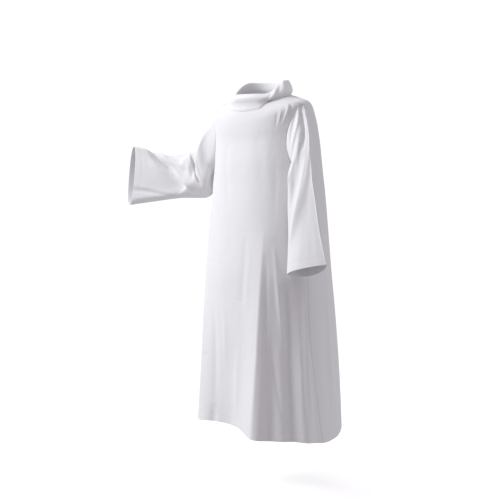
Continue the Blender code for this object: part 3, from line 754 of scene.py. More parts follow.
@dataclass(frozen=True)
class WovenCloth:
    """A matt white plain-woven cloth with a faint soft sheen."""

    colour: tuple[float, float, float] = (0.800, 0.800, 0.806)
    shade: tuple[float, float, float] = (0.780, 0.780, 0.788)
    roughness: float = 0.78
    sheen: float = 0.22
    sheen_roughness: float = 0.45
    gloss: float = 0.25
    thread_pitch: float = 0.0009
    wave_pitches: float = 20.0
    wave_distortion: float = 0.6
    wave_detail: float = 1.0
    wave_detail_scale: float = 0.2
    weave_height: float = 0.00006
    slub_height: float = 0.00010
    slub_scale: tuple[float, float, float] = (2200.0, 60.0, 1.0)
    rumple_height: float = 0.0016
    rumple_scale: tuple[float, float, float] = (26.0, 26.0, 14.3)
    tone_scale: tuple[float, float, float] = (7.0, 7.0, 4.0)

    def _weave(self, tree: NodeTree, grain: NodeSocket) -> NodeSocket:
        """The over and under of the threads.

        Args:
            tree: The material's nodes.
            grain: The cloth's own coordinates, in metres.

        Returns:
            The weave's height, from 0 to 1.
        """
        sockets = {
            "Scale": math.pi / (self.wave_pitches * self.thread_pitch),
            "Distortion": self.wave_distortion,
            "Detail": self.wave_detail,
            "Detail Scale": self.wave_detail_scale,
            "Vector": grain,
        }
        bands = []
        for direction in ("X", "Y"):
            settings = {"wave_type": "BANDS", "bands_direction": direction, "wave_profile": "SIN"}
            wave = add_node(tree, "ShaderNodeTexWave", sockets, settings).outputs["Fac"]
            centred = add_node(tree, "ShaderNodeMath", {0: wave, 1: 0.5}, {"operation": "SUBTRACT"})
            bands.append(centred.outputs[0])
        crossed = {0: bands[0], 1: bands[1], 2: 0.5}
        return add_node(tree, "ShaderNodeMath", crossed, {"operation": "MULTIPLY_ADD"}).outputs[0]

    def _noise(self, tree: NodeTree, place: NodeSocket, stretch: tuple, detail: float) -> NodeSocket:
        """A soft noise, stretched by the given scales.

        Args:
            tree: The material's nodes.
            place: The coordinates it reads.
            stretch: How fine it is along each of them.
            detail: How much finer noise is added.

        Returns:
            The noise, from 0 to 1.
        """
        mapping = add_node(tree, "ShaderNodeMapping", {"Scale": stretch, "Vector": place})
        sockets = {"Scale": 1.0, "Detail": detail, "Roughness": 0.5, "Vector": mapping.outputs["Vector"]}
        return add_node(tree, "ShaderNodeTexNoise", sockets).outputs["Fac"]

    def make(self, name: str) -> Material:
        """Makes the cloth's material.

        Args:
            name: The material's name.

        Returns:
            The material.
        """
        look = {
            "Roughness": self.roughness,
            "Sheen Weight": self.sheen,
            "Sheen Roughness": self.sheen_roughness,
            "Specular IOR Level": self.gloss,
        }
        material, tree, shader = new_material(name, look)
        grain = add_node(tree, "ShaderNodeUVMap", {}, {"uv_map": "grain"}).outputs["UV"]
        place = add_node(tree, "ShaderNodeTexCoord", {}).outputs["Object"]
        layers = (
            (self._noise(tree, place, self.rumple_scale, 2.0), self.rumple_height),
            (self._noise(tree, grain, self.slub_scale, 1.0), self.slub_height),
            (self._weave(tree, grain), self.weave_height),
        )
        below = {}
        for height, distance in layers:
            relief = {"Strength": 1.0, "Distance": distance, "Height": height, **below}
            below = {"Normal": add_node(tree, "ShaderNodeBump", relief).outputs["Normal"]}
        tone = mixed_tone(tree, self._noise(tree, place, self.tone_scale, 3.0), self.shade, self.colour)
        fill_node(tree, shader, {"Base Color": tone, **below})
        return material


@dataclass(frozen=True)
class Thread:
    """Twisted white sewing thread."""

    colour: tuple[float, float, float] = (0.76, 0.76, 0.775)
    dark: tuple[float, float, float] = (0.66, 0.66, 0.68)
    roughness: float = 0.6
    sheen: float = 0.1
    twist_scale: float = 900.0
    twist_height: float = 0.0001

    def make(self, name: str) -> Material:
        """Makes the thread's material.

        Args:
            name: The material's name.

        Returns:
            The material.
        """
        material, tree, shader = new_material(name, {"Roughness": self.roughness, "Sheen Weight": self.sheen})
        place = add_node(tree, "ShaderNodeTexCoord", {}).outputs["Object"]
        sockets = {"Scale": self.twist_scale, "Vector": place}
        twist = add_node(tree, "ShaderNodeTexNoise", sockets).outputs["Fac"]
        relief = add_node(tree, "ShaderNodeBump", {"Distance": self.twist_height, "Height": twist})
        tone = mixed_tone(tree, twist, self.dark, self.colour)
        fill_node(tree, shader, {"Base Color": tone, "Normal": relief.outputs["Normal"]})
        return material


@dataclass(frozen=True)
class PaleFloor:
    """A plain, nearly white studio floor."""

    colour: tuple[float, float, float] = (0.80, 0.80, 0.80)
    roughness: float = 0.9
    gloss: float = 0.1
    glow: float = 0.62

    def make(self, name: str) -> Material:
        """Makes the floor's material.

        Args:
            name: The material's name.

        Returns:
            The material.
        """
        look = {
            "Base Color": (*self.colour, 1.0),
            "Roughness": self.roughness,
            "Specular IOR Level": self.gloss,
            "Emission Color": (1.0, 1.0, 1.0, 1.0),
            "Emission Strength": self.glow,
        }
        return new_material(name, look)[0]


# ---- The body that every piece lies on.
@dataclass(frozen=True)
class BodyForm:
    """The body's hanging form: rings, deep folds, hem dips and creases."""

    rings: tuple[Ring, ...] = BODY_RINGS
    folds: tuple[BodyFold, ...] = BODY_FOLDS
    dips: tuple[HemDip, ...] = HEM_DIPS
    seam: tuple[tuple[float, float], ...] = SIDE_SEAM
    creases: tuple[Crease, ...] = BODY_CREASES
    crease_scale: tuple[float, float] = (0.0041, 1.0)

    def seam_angle(self, run: np.ndarray) -> np.ndarray:
        """The side seam's angle at runs below the armhole."""
        runs, angles = zip(*self.seam)
        return smooth_table(runs, angles, run)

    def push(self, run: np.ndarray, angle: np.ndarray) -> np.ndarray:
        """How far the deep folds push the cloth out.

        Args:
            run: Runs up the side.
            angle: Angles round the body, in degrees.

        Returns:
            The push in metres at each place.
        """
        total = np.zeros(np.broadcast(run, angle).shape)
        for fold in self.folds:
            down = np.clip(1.0 - run / fold.top_run, 0.0, None)
            centre = fold.top_angle + (fold.hem_angle - fold.top_angle) * down
            width = fold.top_width + (fold.hem_width - fold.top_width) * down
            grown = fold.depth * down**fold.growth * smooth_step(down * FOLD_HEAD)
            total = total + grown * bump(angle - centre, width)
        return total

    def rise(self, run: np.ndarray, angle: np.ndarray) -> np.ndarray:
        """How far the cloth near the hem is lifted at each place."""
        share = np.clip(1.0 - run / HEM_DIP_RUN, 0.0, None) ** 2
        return share * sum(dip.rise * bump(angle - dip.angle, dip.width) for dip in self.dips)

    def bare(self, run: np.ndarray, angle: np.ndarray) -> np.ndarray:
        """The body's outer face without its creases.

        Args:
            run: Runs up the side.
            angle: Angles round the body, in degrees.

        Returns:
            A point for each place.
        """
        table = smooth_table([ring.run for ring in self.rings], [ring.shape() for ring in self.rings], run)
        z_front, z_side, z_back, lean, half_width, front, back, centre_y, power = np.moveaxis(table, -1, 0)
        a = np.radians(angle)
        across = signed_power(np.sin(a), 2.0 / power)
        ahead = signed_power(np.cos(a), 2.0 / power)
        depth = np.where(ahead > 0.0, front, back)
        grow = 1.0 + self.push(run, angle) / np.hypot(half_width * across, depth * ahead)
        z = round_value(z_front, z_side, z_back, angle) - lean * np.sin(a) + self.rise(run, angle)
        return np.stack([half_width * across * grow, centre_y - depth * ahead * grow, z], axis=-1)

    def normals(self, run: np.ndarray, angle: np.ndarray) -> np.ndarray:
        """The body's outward directions.

        Args:
            run: Runs up the side.
            angle: Angles round the body, in degrees.

        Returns:
            A unit vector for each place.
        """
        low = np.clip(run - SMALL_RUN, 0.0, None)
        high = np.clip(run + SMALL_RUN, None, NECK_RUN)
        up = self.bare(high, angle) - self.bare(low, angle)
        round_way = self.bare(run, angle + SMALL_ANGLE) - self.bare(run, angle - SMALL_ANGLE)
        return unit(np.cross(round_way, up))

    def points(self, run: np.ndarray, angle: np.ndarray) -> np.ndarray:
        """The body's outer face with its creases."""
        lift = sum(crease.height(angle, run, self.crease_scale) for crease in self.creases)
        return self.bare(run, angle) + self.normals(run, angle) * lift[..., None]

    def armhole(self, turn: np.ndarray) -> tuple[np.ndarray, np.ndarray, np.ndarray]:
        """The armhole's edge.

        Args:
            turn: Degrees from the armhole's top, from 0 to 180.

        Returns:
            The runs, and the angles of the edge from the middle of the front and of the back.
        """
        high = (1.0 + np.cos(np.radians(turn))) / 2.0
        run = ARMHOLE_RUN + (SHOULDER_RUN - ARMHOLE_RUN) * high
        round_off = np.sqrt(np.clip(np.sin(math.pi * high), 0.0, None))
        return run, SIDE_ANGLE - ARMHOLE_FRONT_CUT * round_off, SIDE_ANGLE - ARMHOLE_BACK_CUT * round_off


# ---- Making cloth and stitches.
def place_mesh(name: str, mesh: Mesh, material: Material) -> Object:
    """Puts a mesh in the scene, selected alone and active.

    Args:
        name: The piece's name.
        mesh: Its mesh.
        material: Its finish.

    Returns:
        The piece.
    """
    mesh.materials.append(material)
    mesh.update()
    piece = bpy.data.objects.new(name, mesh)
    bpy.context.scene.collection.objects.link(piece)
    bpy.ops.object.select_all(action="DESELECT")
    piece.select_set(True)
    bpy.context.view_layer.objects.active = piece
    return piece


@dataclass
class SeamLine:
    """A sewn line that draws the cloth in: a fine groove with small uneven puckers beside it."""

    points: np.ndarray
    depth: float = 0.0014
    width: float = 0.0024
    pucker: float = 0.0003
    pucker_pitch: float = 0.013
    pucker_width: float = 0.006
    unevenness: float = 1.7
    uneven_pace: float = 0.31
    step: float = 0.0006

    def sink(self, places: np.ndarray) -> np.ndarray:
        """How far the seam draws the cloth in.

        Args:
            places: The cloth's points.

        Returns:
            The depth at each point.
        """
        lengths = line_lengths(self.points)
        count = int(lengths[-1] / self.step) + 2
        steps = np.linspace(0.0, lengths[-1], count)
        tree = kdtree.KDTree(count)
        for number, point in enumerate(read_line(steps, lengths, self.points)):
            tree.insert(point, number)
        tree.balance()
        found = [tree.find(point) for point in places.reshape(-1, 3)]
        away = np.array([item[2] for item in found]).reshape(places.shape[:-1])
        where = steps[np.array([item[1] for item in found])].reshape(places.shape[:-1])
        wave = 2.0 * math.pi * where / self.pucker_pitch
        ripple = np.sin(wave + self.unevenness * np.sin(self.uneven_pace * wave))
        ripple = ripple * np.exp(-((away / self.pucker_width) ** 2))
        return self.depth * np.exp(-((away / self.width) ** 2)) + self.pucker * ripple


@dataclass
class ClothGrid:
    """A grid of points on a cloth's outer face, whose last row is a free edge that is turned up."""

    points: np.ndarray
    outward: np.ndarray
    closed: bool
    fold_radius: float = 0.0008
    fold_turns: tuple[float, ...] = (40.0, 80.0, 120.0, 160.0)
    smooth_below: float = 60.0

    def turn_up(self, count: int) -> None:
        """Folds the last rows inwards and back over themselves.

        Args:
            count: How many rows the turned-up part covers.
        """
        edge = self.points[-1]
        normal = self.outward[-1]
        ahead = unit(edge - self.points[-3])
        rows = []
        for a in np.radians(self.fold_turns):
            rows.append(edge + self.fold_radius * (ahead * math.sin(a) - normal * (1.0 - math.cos(a))))
        for back in range(-2, -2 - count, -1):
            rows.append(self.points[back] - self.outward[back] * 2.0 * self.fold_radius)
        self.points = np.concatenate([self.points, np.array(rows)])

    def grain(self) -> tuple[np.ndarray, np.ndarray]:
        """The cloth's own coordinates, in metres along its weft and warp.

        Returns:
            The two coordinates for each point, with one column more where the grid closes.
        """
        points = self.points
        if self.closed:
            points = np.concatenate([points, points[:, :1]], axis=1)
        across = np.linalg.norm(np.diff(points, axis=1), axis=2)
        weft = np.concatenate([np.zeros((len(points), 1)), np.cumsum(across, axis=1)], axis=1)
        weft -= weft[:, weft.shape[1] // 2][:, None]
        down = np.linalg.norm(np.diff(points, axis=0), axis=2).mean(axis=1)
        warp = -np.concatenate([[0.0], np.cumsum(down)])
        return weft, np.repeat(warp[:, None], weft.shape[1], axis=1)

    def build(self, name: str, material: Material) -> Object:
        """Makes the cloth as a thin shell.

        Args:
            name: The piece's name.
            material: Its finish.

        Returns:
            The finished piece.
        """
        rows, columns = self.points.shape[:2]
        spans = columns if self.closed else columns - 1
        row = np.repeat(np.arange(rows - 1), spans)
        column = np.tile(np.arange(spans), rows - 1)
        nearer = row * columns + column
        nearer_next = row * columns + (column + 1) % columns
        corners = np.stack([nearer, nearer + columns, nearer_next + columns, nearer_next], axis=1)
        turn = np.stack([column, column, column + 1, column + 1], axis=1)
        level = np.stack([row, row + 1, row + 1, row], axis=1)
        flat = self.points.reshape(-1, 3)
        first = flat[corners[0]]
        if np.dot(np.cross(first[1] - first[0], first[3] - first[0]), self.outward[0, 0]) < 0.0:
            corners, turn, level = corners[:, ::-1], turn[:, ::-1], level[:, ::-1]
        mesh = bpy.data.meshes.new(name)
        mesh.from_pydata(flat.tolist(), [], corners.tolist())
        weft, warp = self.grain()
        grain = np.stack([weft[level, turn], warp[level, turn]], axis=-1)
        layer = mesh.uv_layers.new(name="grain")
        layer.data.foreach_set("uv", grain.reshape(-1).astype(np.float32))
        piece = place_mesh(name, mesh, material)
        shell = piece.modifiers.new("Shell", "SOLIDIFY")
        shell.thickness = CLOTH_THICKNESS
        shell.offset = -1.0
        bpy.ops.object.modifier_apply(modifier=shell.name)
        bpy.ops.object.shade_smooth_by_angle(angle=math.radians(self.smooth_below))
        return piece


@dataclass
class StitchRow:
    """A row of machine stitches along a line on the cloth."""

    name: str
    points: np.ndarray
    outward: np.ndarray
    thread: Material
    pitch: float = 0.0034
    length: float = 0.0026
    radius: float = 0.00026
    sides: int = 6
    core_share: float = 0.7
    end_share: float = 0.15
    end_drop: float = 0.5
    end_size: float = 0.45
    stand: float = 0.35
    end_facing: float = 0.9
    smooth_below: float = 70.0

    def _one_stitch(self) -> tuple[np.ndarray, list[list[int]]]:
        """Models one stitch along X.

        Returns:
            Its points and its faces.
        """
        bpy.ops.object.select_all(action="DESELECT")
        bpy.ops.mesh.primitive_cylinder_add(
            vertices=self.sides,
            radius=self.radius,
            depth=self.length * self.core_share,
            rotation=(0.0, math.pi / 2.0, 0.0),
        )
        stitch = bpy.context.active_object
        bpy.ops.object.transform_apply(location=True, rotation=True, scale=True)
        bpy.ops.object.mode_set(mode="EDIT")
        bpy.ops.mesh.select_all(action="DESELECT")
        bpy.ops.object.mode_set(mode="OBJECT")
        for end in (-1.0, 1.0):
            for face in stitch.data.polygons:
                face.select = face.normal.x * end > self.end_facing
            bpy.ops.object.mode_set(mode="EDIT")
            way = (end * self.length * self.end_share, 0.0, -self.radius * self.end_drop)
            bpy.ops.mesh.extrude_region_move(TRANSFORM_OT_translate={"value": way})
            bpy.ops.transform.resize(value=(1.0, self.end_size, self.end_size))
            bpy.ops.mesh.select_all(action="DESELECT")
            bpy.ops.object.mode_set(mode="OBJECT")
        points = np.array([list(vertex.co) for vertex in stitch.data.vertices])
        faces = [list(face.vertices) for face in stitch.data.polygons]
        bpy.data.objects.remove(stitch, do_unlink=True)
        return points, faces

    def build(self) -> Object:
        """Copies the stitch along the line.

        Returns:
            The row as one piece.
        """
        shape, faces = self._one_stitch()
        lengths = line_lengths(self.points)
        count = int(lengths[-1] / self.pitch)
        middles = (np.arange(count) + 0.5) * lengths[-1] / count
        start = read_line(middles - self.length / 2.0, lengths, self.points)
        end = read_line(middles + self.length / 2.0, lengths, self.points)
        ahead = unit(end - start)
        side = unit(np.cross(unit(read_line(middles, lengths, self.outward)), ahead))
        out = np.cross(ahead, side)
        centre = (start + end) / 2.0 + out * self.radius * self.stand
        ways = [way[:, None] * shape[None, :, k, None] for k, way in enumerate((ahead, side, out))]
        placed = centre[:, None] + ways[0] + ways[1] + ways[2]
        polygons = [[k + number * len(shape) for k in face] for number in range(count) for face in faces]
        mesh = bpy.data.meshes.new(self.name)
        mesh.from_pydata(placed.reshape(-1, 3).tolist(), [], polygons)
        piece = place_mesh(self.name, mesh, self.thread)
        bpy.ops.object.shade_smooth_by_angle(angle=math.radians(self.smooth_below))
        return piece


@dataclass(frozen=True)
class Cut:
    """A piece's cut: the rectangle it is cut from (not used), its flat area, and the node it stands for."""

    node: str
    flat: tuple[float, float]
    area: float

    def declare(self, piece: Object, stitches: list[Object]) -> None:
        """Puts the piece and its stitches in the frame.

        Args:
            piece: The finished cloth.
            stitches: The rows of stitches on it.
        """
        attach(piece, "root")
        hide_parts(self.node)
        for row in stitches:
            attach(row, "root")
        triangles = sum(len(face.vertices) - 2 for face in piece.data.polygons)
        surface = sum(face.area for face in piece.data.polygons) / 2.0
        LOG.info("%s: %d triangles, %.3f m2 of cloth, cut %.3f m2", piece.name, triangles, surface, self.area)


# ---- The pieces.
@dataclass
class ClothPiece:
    """What every cut piece has: the body it hangs on, its cut, its cloth, its thread and its hem."""

    form: BodyForm
    cut: Cut
    cloth: Material
    thread: Material
    hem: float = field(default=0.030, kw_only=True)

    def _stitched_row(self, from_edge: np.ndarray) -> int:
        """The row that the stitches run along, counted back from the free edge."""
        return -1 - int(np.argmin(np.abs(from_edge - (self.hem - STITCH_INSET))))

    def _sew(
        self, points: np.ndarray, outward: np.ndarray, closed: bool, from_edge: np.ndarray, edge: str
    ) -> Object:
        """Turns up the free edge, makes the shell and its stitches, and puts them in the frame.

        Args:
            points: The grid of the cloth's outer face.
            outward: Its outward directions.
            closed: Whether each row closes on itself.
            from_edge: The rows' distances from the free edge.
            edge: What the free edge is called.

        Returns:
            The finished cloth.
        """
        grid = ClothGrid(points, outward, closed)
        grid.turn_up(int(np.sum(from_edge < self.hem - TURN_MARGIN)) - 1)
        piece = grid.build(self.cut.node + "_cloth", self.cloth)
        row = self._stitched_row(from_edge)
        line, outs = points[row], outward[row]
        if closed:
            line, outs = closed_line(line), closed_line(outs)
        stitches = StitchRow(f"{self.cut.node}_{edge}_stitches", line, outs, self.thread)
        self.cut.declare(piece, [stitches.build()])
        return piece


@dataclass
class Panel(ClothPiece):
    """The robe's front or back, from hem to neck."""

    face: Face
    columns: int = 176
    neck_rows: int = 14
    edge_columns: tuple[float, ...] = (0.0, 0.0030, 0.0065)

    def _rows(self) -> tuple[np.ndarray, np.ndarray]:
        """Places the rows, from neck to hem.

        Returns:
            Their runs, and the angles of the panel's edge there.
        """
        is_front = self.face is Face.FRONT
        neck = np.linspace(NECK_RUN, SHOULDER_RUN, self.neck_rows, endpoint=False)
        run, front_edge, back_edge = self.form.armhole(np.linspace(0.0, 180.0, ARMHOLE_STEPS + 1))
        skirt = edge_steps(self.hem, ARMHOLE_RUN)[::-1][1:]
        seam = self.form.seam_angle(skirt)
        skirt_edge = seam if is_front else 2.0 * SIDE_ANGLE - seam
        armhole_edge = front_edge if is_front else back_edge
        edges = np.concatenate([np.full(len(neck), SIDE_ANGLE), armhole_edge, skirt_edge])
        return np.concatenate([neck, run, skirt]), edges

    def build(self) -> Object:
        """Builds the panel with its hem and its stitches.

        Returns:
            The finished panel.
        """
        runs, edges = self._rows()
        even = np.linspace(-1.0, 1.0, self.columns + 1)[1:-1]
        near = np.array(self.edge_columns)
        across = np.concatenate([-1.0 + near, even, (1.0 - near)[::-1]])
        points = self.form.points(runs[:, None], self.face.value + edges[:, None] * across[None, :])
        outward = grid_normals(points, False, -1.0)
        hem_line = points[self._stitched_row(runs[::-1])]
        seams = (SeamLine(points[:, 0]), SeamLine(points[:, -1]), SeamLine(hem_line, *HEM_SEAM))
        points = points - outward * sum(seam.sink(points) for seam in seams)[..., None]
        return self._sew(points, grid_normals(points, False, -1.0), False, runs[::-1], "hem")


@dataclass
class Sleeve(ClothPiece):
    """One wide sleeve, from the armhole to the turned-up cuff."""

    side: Side
    sections: tuple[Section, ...]
    relief: Relief
    close_rows: tuple[float, float]
    rows: int = 132
    row_growth: float = 1.1
    cuff_rows_end: float = 0.050
    seam_columns: tuple[float, float] = (0.8, 1.8)

    def _armhole(self, turns: np.ndarray) -> tuple[np.ndarray, np.ndarray]:
        """Finds the armhole on this side.

        Args:
            turns: The columns' turns.

        Returns:
            Its points and their outward directions.
        """
        run, front_edge, back_edge = self.form.armhole(np.abs(turns))
        angle = self.side.value * np.where(turns >= 0.0, front_edge, 180.0 - back_edge)
        return self.form.points(run, angle), self.form.normals(run, angle)

    def _ring(self, section: Section, turns: np.ndarray) -> np.ndarray:
        """Works out one section's ring.

        Args:
            section: The section.
            turns: The columns' turns.

        Returns:
            The ring's points.
        """
        outer = np.array(section.outer)
        inner = np.array(section.inner)
        middle = (outer + inner) / 2.0
        half = (outer - inner) / 2.0
        facing = math.radians(section.facing)
        front_way = np.array([math.sin(facing), -math.cos(facing), section.tilt])
        front_way = unit(front_way - half * np.dot(front_way, half) / np.dot(half, half))
        a = np.radians(turns)
        lengthways = signed_power(np.cos(a), 2.0 / section.power)
        sideways = signed_power(np.sin(a), 2.0 / section.power)
        taper = ((1.0 - lengthways) / 2.0) ** (section.edge / 2.0) / (1.0 - EDGE_THINNING * section.edge)
        reach = np.where(sideways > 0.0, section.front, section.back) * taper
        return middle + half * lengthways[:, None] + front_way * (reach * sideways)[:, None]

    def _along(self, speed: np.ndarray, from_edge: np.ndarray) -> np.ndarray:
        """Places the rows, closer over the fine creases and at the cuff.

        Args:
            speed: Each column's length for a whole share.
            from_edge: The cuff's rows as distances from its edge.

        Returns:
            The share of the way along for each row and column.
        """
        cuff = 1.0 - from_edge[::-1][:, None] / speed[None, :]
        share = np.linspace(0.0, 1.0, self.rows + 1)[:-1] ** self.row_growth
        close = np.arange(*self.close_rows, CLOSE_ROW_STEP) / float(cuff[0].mean())
        share = np.unique(np.concatenate([share[(share < close[0]) | (share > close[-1])], close]))
        return np.concatenate([share[:, None] * cuff[:1], cuff])

    def build(self) -> Object:
        """Builds the sleeve with its cuff and its stitches.

        Returns:
            The finished sleeve.
        """
        turns = round_columns(-180.0, 2 * ARMHOLE_STEPS, self.seam_columns)
        start, start_out = self._armhole(turns)
        low = (1.0 - np.cos(np.radians(turns))) / 2.0
        stand = start + start_out * (SLEEVE_STAND * low)[:, None]
        rings = [start, stand] + [self._ring(section, turns) for section in self.sections]
        places = [0.0, SLEEVE_STAND_END] + [section.along for section in self.sections]
        lanes = np.arange(len(turns))
        ends = [np.full(len(turns), share) for share in (1.0 - SMALL_SHARE, 1.0)]
        before, last = (smooth_table(places, rings, end, lanes) for end in ends)
        from_edge = edge_steps(self.hem, self.cuff_rows_end)
        along = self._along(np.linalg.norm(last - before, axis=1) / SMALL_SHARE, from_edge)
        points = smooth_table(places, rings, along, lanes[None, :])
        outward = grid_normals(points, True, self.side.value)
        points = points + outward * self.relief.push(along, turns[None, :])[..., None]
        outward = grid_normals(points, True, self.side.value)
        cuff_line = closed_line(points[self._stitched_row(from_edge)])
        seams = (
            SeamLine(points[:, 0]),
            SeamLine(closed_line(points[0]), *ARMHOLE_SEAM),
            SeamLine(cuff_line, *CUFF_SEAM),
        )
        sunk = points - outward * sum(seam.sink(points) for seam in seams)[..., None]
        sunk[0] = points[0] - start_out * ARMHOLE_SEAM[0]
        return self._sew(sunk, grid_normals(sunk, True, self.side.value), True, from_edge, "cuff")


@dataclass
class Collar(ClothPiece):
    """The soft cowl: it stands up from the neck seam, rolls over its rim and falls outside."""

    lines: tuple[CollarLine, ...] = COLLAR_LINES
    relief: Relief = Relief(COLLAR_FOLDS, COLLAR_CREASES, (0.0019, 0.125), 1.0)
    columns: int = 220
    rows: int = 58
    edge_rows_end: float = 0.020
    seam_columns: tuple[float, float] = (0.5, 1.1)
    hem: float = field(default=0.012, kw_only=True)

    def _line(self, line: CollarLine, angle: np.ndarray) -> np.ndarray:
        """Works out one line round the neck.

        Args:
            line: The line.
            angle: Angles round the neck, in degrees.

        Returns:
            Its points.
        """
        away = np.abs(wrapped(angle))
        left = wrapped(angle) >= 0.0
        start = np.where(left, COLLAR_RISE_LEFT[0], COLLAR_RISE_RIGHT[0])
        end = np.where(left, COLLAR_RISE_LEFT[1], COLLAR_RISE_RIGHT[1])
        rise = smooth_step((away - start) / (end - start))
        height = line.z_front + (line.z_back - line.z_front) * rise
        reach = round_value(line.r_front, line.r_side, line.r_back, angle)
        a = np.radians(angle)
        return np.stack([reach * np.sin(a), -reach * np.cos(a), height], axis=-1)

    def _edge(self, angle: np.ndarray) -> np.ndarray:
        """Works out the free edge, just off the body: it drops lower over the front.

        Args:
            angle: Angles round the neck, in degrees.

        Returns:
            Its points.
        """
        away = np.abs(wrapped(angle))
        drop = 1.0 - smooth_step((away - COLLAR_DROP_FULL) / (COLLAR_DROP_GONE - COLLAR_DROP_FULL))
        run = COLLAR_EDGE_RUN + (COLLAR_DROP_RUN - COLLAR_EDGE_RUN) * drop
        return self.form.bare(run, angle) + self.form.normals(run, angle) * COLLAR_STAND_OFF

    def build(self) -> Object:
        """Builds the cowl with its turned-in edge and its stitches.

        Returns:
            The finished cowl.
        """
        angles = round_columns(180.0, self.columns, self.seam_columns)
        start = self.form.points(np.full(len(angles), NECK_RUN), angles)
        lines = [start] + [self._line(line, angles) for line in self.lines] + [self._edge(angles)]
        places = [0.0] + [line.turn for line in self.lines] + [1.0]
        length = np.linalg.norm(np.diff(np.array(lines), axis=0), axis=2).sum(axis=0)
        from_edge = edge_steps(self.hem, self.edge_rows_end)
        from_edge = np.unique(np.round(from_edge[from_edge <= self.edge_rows_end], 5))
        edge_turn = 1.0 - from_edge[::-1][:, None] / length[None, :]
        share = np.linspace(0.0, 1.0, self.rows + 1)[:-1]
        turn = np.concatenate([share[:, None] * edge_turn[:1], edge_turn])
        points = smooth_table(places, lines, turn, np.arange(len(angles))[None, :])
        outward = grid_normals(points, True, -1.0)
        points = points + outward * self.relief.push(turn, angles[None, :])[..., None]
        outward = grid_normals(points, True, -1.0)
        edge_line = closed_line(points[self._stitched_row(from_edge)])
        seams = (SeamLine(points[:, 0]), SeamLine(edge_line, *COLLAR_SEAM))
        points = points - outward * sum(seam.sink(points) for seam in seams)[..., None]
        return self._sew(points, grid_normals(points, True, -1.0), True, from_edge, "edge")


# ---- The studio.
@dataclass(frozen=True)
class SoftLight:
    """One large soft lamp, aimed at the robe."""

    name: str
    azimuth: float
    elevation: float
    distance: float
    size: float
    watts: float
    aim_height: float
    colour: tuple[float, float, float] = (0.94, 0.975, 1.0)

    def build(self) -> None:
        """Adds the lamp."""
        a = math.radians(self.azimuth)
        e = math.radians(self.elevation)
        place = (
            self.distance * math.cos(e) * math.sin(a),
            -self.distance * math.cos(e) * math.cos(a),
            self.aim_height + self.distance * math.sin(e),
        )
        bpy.ops.object.light_add(type="AREA", location=place, rotation=(math.pi / 2.0 - e, 0.0, a))
        lamp = bpy.context.active_object
        lamp.name = self.name
        lamp.data.shape = "DISK"
        lamp.data.size = self.size
        lamp.data.energy = self.watts
        lamp.data.color = self.colour


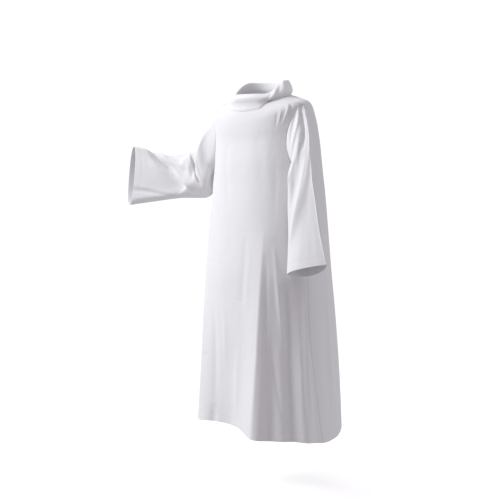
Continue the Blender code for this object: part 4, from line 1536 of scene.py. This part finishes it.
@dataclass
class Studio:
    """The pale floor, the soft light and the camera."""

    floor_level: float = -1.459
    floor_radius: float = 4.0
    floor_sides: int = 96
    room_light: float = 0.42
    room_colour: tuple[float, float, float, float] = (1.0, 0.935, 1.0, 1.0)
    backdrop_light: float = 1.05
    camera_place: tuple[float, float, float] = (3.182, -3.182, -0.25)
    camera_down: float = 3.98
    camera_turn: float = 45.57
    lens: float = 87.8
    sensor: float = 36.0
    lamps: tuple[SoftLight, ...] = (
        SoftLight("key_lamp", -34.0, 35.0, 5.2, 2.0, 186.0, -0.75),
        SoftLight("fill_lamp", 126.0, 1.0, 2.8, 1.5, 16.5, -1.25),
        SoftLight("bounce_lamp", -50.0, -24.0, 2.2, 1.6, 9.0, -0.30),
        SoftLight("top_lamp", 58.0, 63.0, 2.8, 2.2, 7.5, 0.00),
        SoftLight("high_lamp", -90.0, 64.0, 2.8, 2.2, 14.0, 0.00),
    )

    def _floor(self) -> None:
        """Lays the floor."""
        bpy.ops.object.select_all(action="DESELECT")
        bpy.ops.mesh.primitive_circle_add(
            vertices=self.floor_sides,
            radius=self.floor_radius,
            fill_type="NGON",
            location=(0.0, 0.0, self.floor_level),
        )
        floor = bpy.context.active_object
        floor.name = "studio_floor"
        bpy.ops.object.transform_apply(location=True, rotation=True, scale=True)
        floor.data.materials.append(PaleFloor().make("pale_floor"))
        floor.visible_diffuse = False

    def _room(self) -> None:
        """Sets the white room: bright behind the robe, softer as light."""
        world = bpy.data.worlds.new("white_room")
        world.use_nodes = True
        bpy.context.scene.world = world
        tree = world.node_tree
        tree.nodes.clear()
        backdrop = {"Color": (1.0, 1.0, 1.0, 1.0), "Strength": self.backdrop_light}
        seen = add_node(tree, "ShaderNodeBackground", backdrop)
        room = {"Color": self.room_colour, "Strength": self.room_light}
        light = add_node(tree, "ShaderNodeBackground", room)
        path = add_node(tree, "ShaderNodeLightPath", {})
        sides = {1: light.outputs["Background"], 2: seen.outputs["Background"]}
        blend = add_node(tree, "ShaderNodeMixShader", {"Fac": path.outputs["Is Camera Ray"], **sides})
        add_node(tree, "ShaderNodeOutputWorld", {"Surface": blend.outputs["Shader"]})

    def _camera(self) -> None:
        """Sets up the camera."""
        rotation = (math.radians(90.0 - self.camera_down), 0.0, math.radians(self.camera_turn))
        bpy.ops.object.camera_add(location=self.camera_place, rotation=rotation)
        camera = bpy.context.active_object
        camera.name = "studio_camera"
        camera.data.lens = self.lens
        camera.data.sensor_width = self.sensor
        bpy.context.scene.camera = camera

    def build(self) -> None:
        """Builds floor, room, lamps and camera."""
        self._floor()
        self._room()
        for lamp in self.lamps:
            lamp.build()
        self._camera()
        bpy.context.scene.view_settings.view_transform = "Standard"


def main() -> None:
    """Builds the robe's pieces in order, then the studio round it."""
    cloth = WovenCloth().make("white_cloth")
    # The cowl gets a lighter copy of the same cloth: painted light, standing in for the extra light that
    # falls on its top surfaces.
    cowl_cloth_painted_light = WovenCloth(colour=(0.890, 0.890, 0.894), shade=(0.870, 0.870, 0.876)).make("cowl_painted_light_cloth")
    thread = Thread().make("white_thread")
    body = BodyForm()
    front = Cut("front", (0.84, 1.41), 0.80)
    back = Cut("back", (0.91, 1.34), 0.99)
    left = Cut("sleeve_left", (0.63, 0.62), 0.215)
    right = Cut("sleeve_right", (0.65, 0.51), 0.238)
    cowl = Cut("collar", (0.74, 0.12), 0.078)
    hanging = (Side.LEFT, LEFT_SECTIONS, Relief(LEFT_FOLDS, LEFT_CREASES), SHOULDER_ROWS)
    bent = (Side.RIGHT, RIGHT_SECTIONS, Relief(RIGHT_FOLDS, RIGHT_CREASES), ELBOW_ROWS)
    Panel(body, front, cloth, thread, Face.FRONT).build()
    Panel(body, back, cloth, thread, Face.BACK).build()
    Sleeve(body, left, cloth, thread, *hanging).build()
    Sleeve(body, right, cloth, thread, *bent).build()
    Collar(body, cowl, cowl_cloth_painted_light, thread).build()
    Studio().build()


if __name__ == "__main__":
    main()
